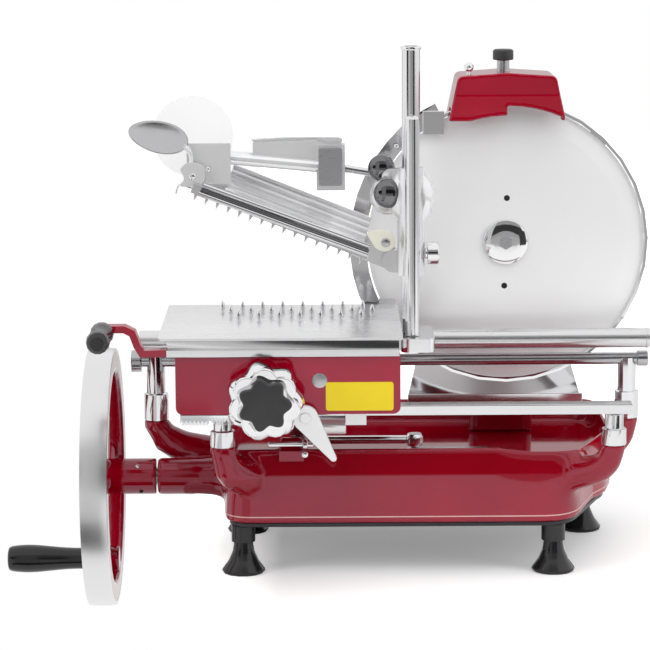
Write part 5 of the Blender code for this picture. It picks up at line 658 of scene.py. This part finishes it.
# Hub: a domed bright cap with a hexagon socket
cap = [(0, -0.0050), (0.010, -0.0049), (0.0165, -0.0043), (0.0198, -0.0030), (0.0209, -0.0012), (0.021, -0.0003), (0, -0.0003)]
place("hub_dome", revolve(cap, "Y", (0.164, 0, 0.2776), 96), chrome, "blade_drive", "hub_cap", slot="polished_steel")
place("hub_hexagon", revolve([(0.0040, -0.0053), (0.0064, -0.0053), (0.0066, -0.0048), (0.0040, -0.0048)], "Y", (0.164, 0, 0.2776), 6, closed=True), machined, "blade_drive", angle=10)
place("hub_socket_floor", revolve([(0, -0.00512), (0.0042, -0.00512), (0.0042, -0.0049), (0, -0.0049)], "Y", (0.164, 0, 0.2776), 6), machined, "blade_drive", angle=10)

# Feed knob: seven soft lobes, a satin black insert
def lobes(radius, share, count, turn=0.0, steps=168):
    return [(radius * (1 + share * math.cos(count * (math.tau * i / steps + turn))) * math.cos(math.tau * i / steps),
             radius * (1 + share * math.cos(count * (math.tau * i / steps + turn))) * math.sin(math.tau * i / steps))
            for i in range(steps)]


def lobed(centre_x, centre_z, layers, share, count, turn):
    """Stacked lobed outlines, each (radius, depth along Y), closed at both ends."""
    shape = bmesh.new()
    rings = []
    for radius, y in layers:
        rings.append([shape.verts.new((centre_x + a, y, centre_z + b)) for a, b in lobes(radius, share, count, turn)])
    for a, b in zip(rings, rings[1:]):
        for i in range(len(a)):
            j = (i + 1) % len(a)
            shape.faces.new((a[i], a[j], b[j], b[i]))
    shape.faces.new(rings[0])
    shape.faces.new(rings[-1])
    return shape


KNOB = (-0.0505, 0.1735)
body = [(0.0282, -0.2022), (0.0305, -0.2036), (0.0312, -0.2080), (0.0312, -0.2160), (0.0306, -0.2195),
        (0.0288, -0.2230), (0.0262, -0.2252), (0.0225, -0.2262)]
place("feed_knob_body", lobed(*KNOB, body, 0.075, 7, 0), chrome, "feed", slot="polished_steel")
insert = [(0.0202, -0.2262), (0.0204, -0.2300), (0.0200, -0.2315), (0.0190, -0.2324), (0.0120, -0.2328)]
place("feed_knob_insert", lobed(*KNOB, insert, 0.12, 7, 0), black_satin, "feed", "feed_insert", slot="black_plastic", angle=25)

# Table: round pointed spikes over the plain ones
TABLE_TOP = 0.2231
spikes = []
for row, (count, share) in enumerate(((8, 0.0), (8, 0.45), (7, 0.88))):
    for i in range(count):
        spot = (-0.0910 + 0.0178 * (i + share), -0.0530 - 0.0240 * row, TABLE_TOP - 0.0002)
        spikes.append(revolve([(0.0016, 0), (0.0019, 0.0010), (0.0023, 0.0034), (0.0022, 0.0060), (0.0014, 0.0092), (0, 0.0112)], "Z", spot, 14))
place("table_spikes", merged(*spikes), chrome, "table", slot="polished_steel")

# Box front: a bare yellow plate and a plug
def rounded_rect(low, high, radius, steps=6):
    out = []
    for cx, cz, start in ((high[0] - radius, low[1] + radius, -90), (high[0] - radius, high[1] - radius, 0),
                          (low[0] + radius, high[1] - radius, 90), (low[0] + radius, low[1] + radius, 180)):
        for i in range(steps + 1):
            a = math.radians(start + 90 * i / steps)
            out.append((cx + radius * math.cos(a), cz + radius * math.sin(a)))
    return out


plate = place("bare_plate", slab(rounded_rect((0.0003, 0.1607), (0.0575, 0.1852), 0.0022), -0.1905, -0.1900), yellow, "carriage")
soften(plate, 0.00015)
plug = [(0, -0.1905), (0.0056, -0.1905), (0.0063, -0.1902), (0.0063, -0.1900), (0, -0.1900)]
place("box_plug", revolve(plug, "Y", (-0.0048, 0, 0.1866), 48), galvanised, "carriage")

# Thumb lever: a dished leaf on a short stem
def leaf():
    shape = bmesh.new()
    tilt = math.radians(-13)
    rings = []
    for radius, depth in ((0.0, 0.0030), (0.35, 0.0026), (0.65, 0.0014), (0.84, 0.0002), (0.93, -0.0006), (1.0, 0.0)):
        ring = []
        for i in range(64):
            a = math.tau * i / 64
            narrow = 1 + 0.10 * math.cos(a)
            u = 0.0262 * radius * math.cos(a)
            v = 0.0128 * radius * math.sin(a) * narrow
            x = -0.1430 + u * math.cos(tilt) - v * math.sin(tilt)
            z = 0.3845 + u * math.sin(tilt) + v * math.cos(tilt)
            ring.append(shape.verts.new((x, -0.0990 + v * 0.75 + depth, z)))
        rings.append(ring)
    for a, b in zip(rings, rings[1:]):
        for i in range(64):
            j = (i + 1) % 64
            shape.faces.new((a[i], a[j], b[j], b[i]))
    bmesh.ops.remove_doubles(shape, verts=shape.verts, dist=0.00001)
    return shape


spoon = place("thumb_leaf", leaf(), leaf_face, "trigger_pivot", "trigger", slot="polished_steel", angle=60)
thick = spoon.modifiers.new("sheet", "SOLIDIFY")
thick.thickness = 0.0016
stem = curve_points([(-0.1215, -0.1010, 0.3765), (-0.1165, -0.0985, 0.3715), (-0.1150, -0.0970, 0.3640), (-0.1168, -0.0965, 0.3565), (-0.1150, -0.0965, 0.3500)], 6)
place("thumb_stem", sweep(stem, [0.0048 - 0.0018 * math.sin(math.pi * i / (len(stem) - 1)) for i in range(len(stem))], 16, 0.55), cast_bright, "trigger_pivot", slot="polished_steel")
ear = curve_points([(-0.1250, 0.3560), (-0.1215, 0.3480), (-0.1250, 0.3420), (-0.1150, 0.3412), (-0.1060, 0.3430), (-0.1035, 0.3510), (-0.1045, 0.3590),
                    (-0.1130, 0.3620), (-0.1200, 0.3610), (-0.1250, 0.3560)], 5)[:-1]
soften(place("lever_ear", slab(ear, -0.1000, -0.0965), cast_bright, "press"), 0.0006)


def rivet(name, spot, radius, finish, body_name, axis="Y", height=0.0012):
    profile = [(0, -height), (radius * 0.6, -height * 0.85), (radius * 0.92, -height * 0.4), (radius, 0), (0, 0)]
    return place(name, revolve(profile, axis, spot, 28), finish, body_name)


rivet("ear_rivet_1", (-0.1140, -0.1000, 0.3500), 0.0030, chrome, "press")
rivet("ear_rivet_2", (-0.1005, -0.0985, 0.3560), 0.0022, chrome, "press")
rivet("plate_rivet_1", (0.0650, -0.0078, 0.3660), 0.0022, chrome, "frame")

# Hand grip leaf behind the twin bar
grip = curve_points([(-0.0640, 0.3786), (-0.0393, 0.3803), (-0.0079, 0.3806), (0.0150, 0.3795), (0.0120, 0.3720), (0.0000, 0.3655), (-0.0160, 0.3612),
                     (-0.0306, 0.3608), (-0.0437, 0.3660), (-0.0550, 0.3722), (-0.0640, 0.3786)], 6)[:-1]
soften(place("grip_leaf", slab(grip, -0.0700, -0.0625), cast_bright, "press"), 0.0025, 4)
soften(place("block_panel", slab(rounded_rect((-0.0048, 0.3405), (0.0158, 0.3735), 0.002), -0.0954, -0.0949), machined, "press"), 0.0002)

# Pivot washer of the press arm
drop = curve_points([(0.0370, 0.2990), (0.0410, 0.2925), (0.0450, 0.2870), (0.0520, 0.2843), (0.0590, 0.2870), (0.0615, 0.2935), (0.0585, 0.3000),
                     (0.0520, 0.3030), (0.0440, 0.3030), (0.0395, 0.3025), (0.0370, 0.2990)], 6)[:-1]
soften(place("pivot_washer", slab(drop, -0.1075, -0.1045), cream, "press"), 0.0008, 3)
rivet("pivot_screw", (0.0530, -0.1075, 0.2925), 0.0040, machined, "press")
wire = curve_points([(-0.1010, -0.0950, 0.3355), (-0.1120, -0.0940, 0.3385), (-0.1230, -0.0930, 0.3418), (-0.1262, -0.0930, 0.3415), (-0.1280, -0.0930, 0.3372), (-0.1287, -0.0930, 0.3345)], 6)
place("wire_hook", sweep(wire, [0.0007] * len(wire), 10), chrome, "press")

# Column head and hub screws
place("column_rim", revolve([(0.0060, 0.4610), (0.0086, 0.4606), (0.0089, 0.4594), (0.0086, 0.4582), (0.0076, 0.4578)], "Z", ((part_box("column")[0][0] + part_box("column")[1][0]) / 2 - SHIFT.x, (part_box("column")[0][1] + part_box("column")[1][1]) / 2 - SHIFT.y, 0), 48), chrome, "table")
rivet("hub_screw_1", (-0.1690, -0.0570, 0.0842), 0.0018, chrome, "drive_wheel")
# This hub screw takes the near-black hole finish: its darkness is painted shade
rivet("hub_screw_2", (-0.1660, -0.0570, 0.0615), 0.0018, shade_black, "drive_wheel")


def stripe_on(base, height, width):
    """A thin line round the base at one height, laid on the casting's own surface."""
    tree = BVHTree.FromPolygons([v.co for v in base.data.vertices], [p.vertices for p in base.data.polygons])
    shape = bmesh.new()
    lows, highs = [], []
    middle = Vector((SHIFT.x + 0.078, SHIFT.y - 0.006, 0))
    for step in range(720):
        turn = math.tau * step / 720
        ahead = Vector((math.cos(turn), math.sin(turn), 0))
        for level, row in ((height, lows), (height + width, highs)):
            start = middle + ahead * 0.40
            start.z = SHIFT.z + level
            hit = tree.ray_cast(start, -ahead, 0.40)[0]
            row.append(shape.verts.new((hit or start) + ahead * 0.00012))
    for i in range(720):
        j = (i + 1) % 720
        shape.faces.new((lows[i], lows[j], highs[j], highs[i]))
    place("pin_stripe", shape, pin_line, "frame", angle=60, drawn=False)


stripe_on(base_made, 0.0526, 0.0010)

# Long tube, and the right rear post cut off under the rail
tube_low, tube_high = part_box("guard_tube")
axis = (0, (tube_low[1] + tube_high[1]) / 2 - SHIFT.y, (tube_low[2] + tube_high[2]) / 2 - SHIFT.z - 0.0004)
left, right = tube_low[0] - SHIFT.x, tube_high[0] - SHIFT.x
wide = 0.0089
tube = [(0, left), (wide - 0.0008, left), (wide, left + 0.0008), (wide, right - 0.0035), (wide + 0.0003, right - 0.0032), (wide + 0.0003, right - 0.0008),
        (wide - 0.0006, right), (0, right)]
place("long_tube", revolve(tube, "X", axis, 72), tube_satin, "carriage", "guard_tube", slot="polished_steel", angle=25)
post_form("rear_post_right", 0.1752)

# Press: round clamp domes and the folded comb bar
# The domes are dark chrome: their dark colour is a painted reflection
for name, spot, radius, body_name in (("dome_low", (0.0556, -0.0950, 0.3335), 0.0128, "press_travel"), ("dome_high", (0.0500, -0.0800, 0.3543), 0.0118, "press_travel")):
    ball = [(radius * math.sin(math.pi * k / 24), -radius * 0.62 * math.cos(math.pi * k / 24)) for k in range(25)]
    place(name, revolve(ball, "Y", spot, 48), painted_dark_reflection_chrome, body_name, slot="polished_steel", angle=80)
# The middle comb roll is dark chrome between two bright rolls: a painted dark reflection line
for k, (drop, radius, finish) in enumerate(((0.0018, 0.0026, polished_x), (0.0062, 0.0019, painted_dark_reflection_chrome), (0.0098, 0.0026, polished_x))):
    start = Vector((-0.1037, -0.1035, 0.3442)) + Vector((-0.0070, 0, -0.0122)) * (drop / 0.0141)
    end = Vector((0.0390, -0.1035, 0.2910)) + Vector((-0.0017, 0, -0.0123)) * (drop / 0.0124)
    place("comb_roll_%d" % (k + 1), sweep([start, end], [radius] * 2, 20, 0.9), finish, "press")

# Rack teeth under the box
teeth = []
for i in range(40):
    x = -0.1215 + 0.00118 * i
    tooth = [(x, 0.1488), (x + 0.0004, 0.1488), (x + 0.0013, 0.1548), (x + 0.0009, 0.1548)]
    teeth.append(slab(tooth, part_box("rack_strip")[0][1] - SHIFT.y - 0.0003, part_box("rack_strip")[0][1] - SHIFT.y + 0.0002))
place("rack_teeth", merged(*teeth), machined, body_of_node["rack_strip"])

# Small red guide of the lock pin
soften(place("lock_guide", slab(rounded_rect((-0.0410, 0.1026), (-0.0190, 0.1120), 0.0012), -0.1245, -0.1155), red, "frame"), 0.0005)
rivet("lock_guide_screw", (-0.0183, -0.1250, 0.1087), 0.0030, chrome, "frame")
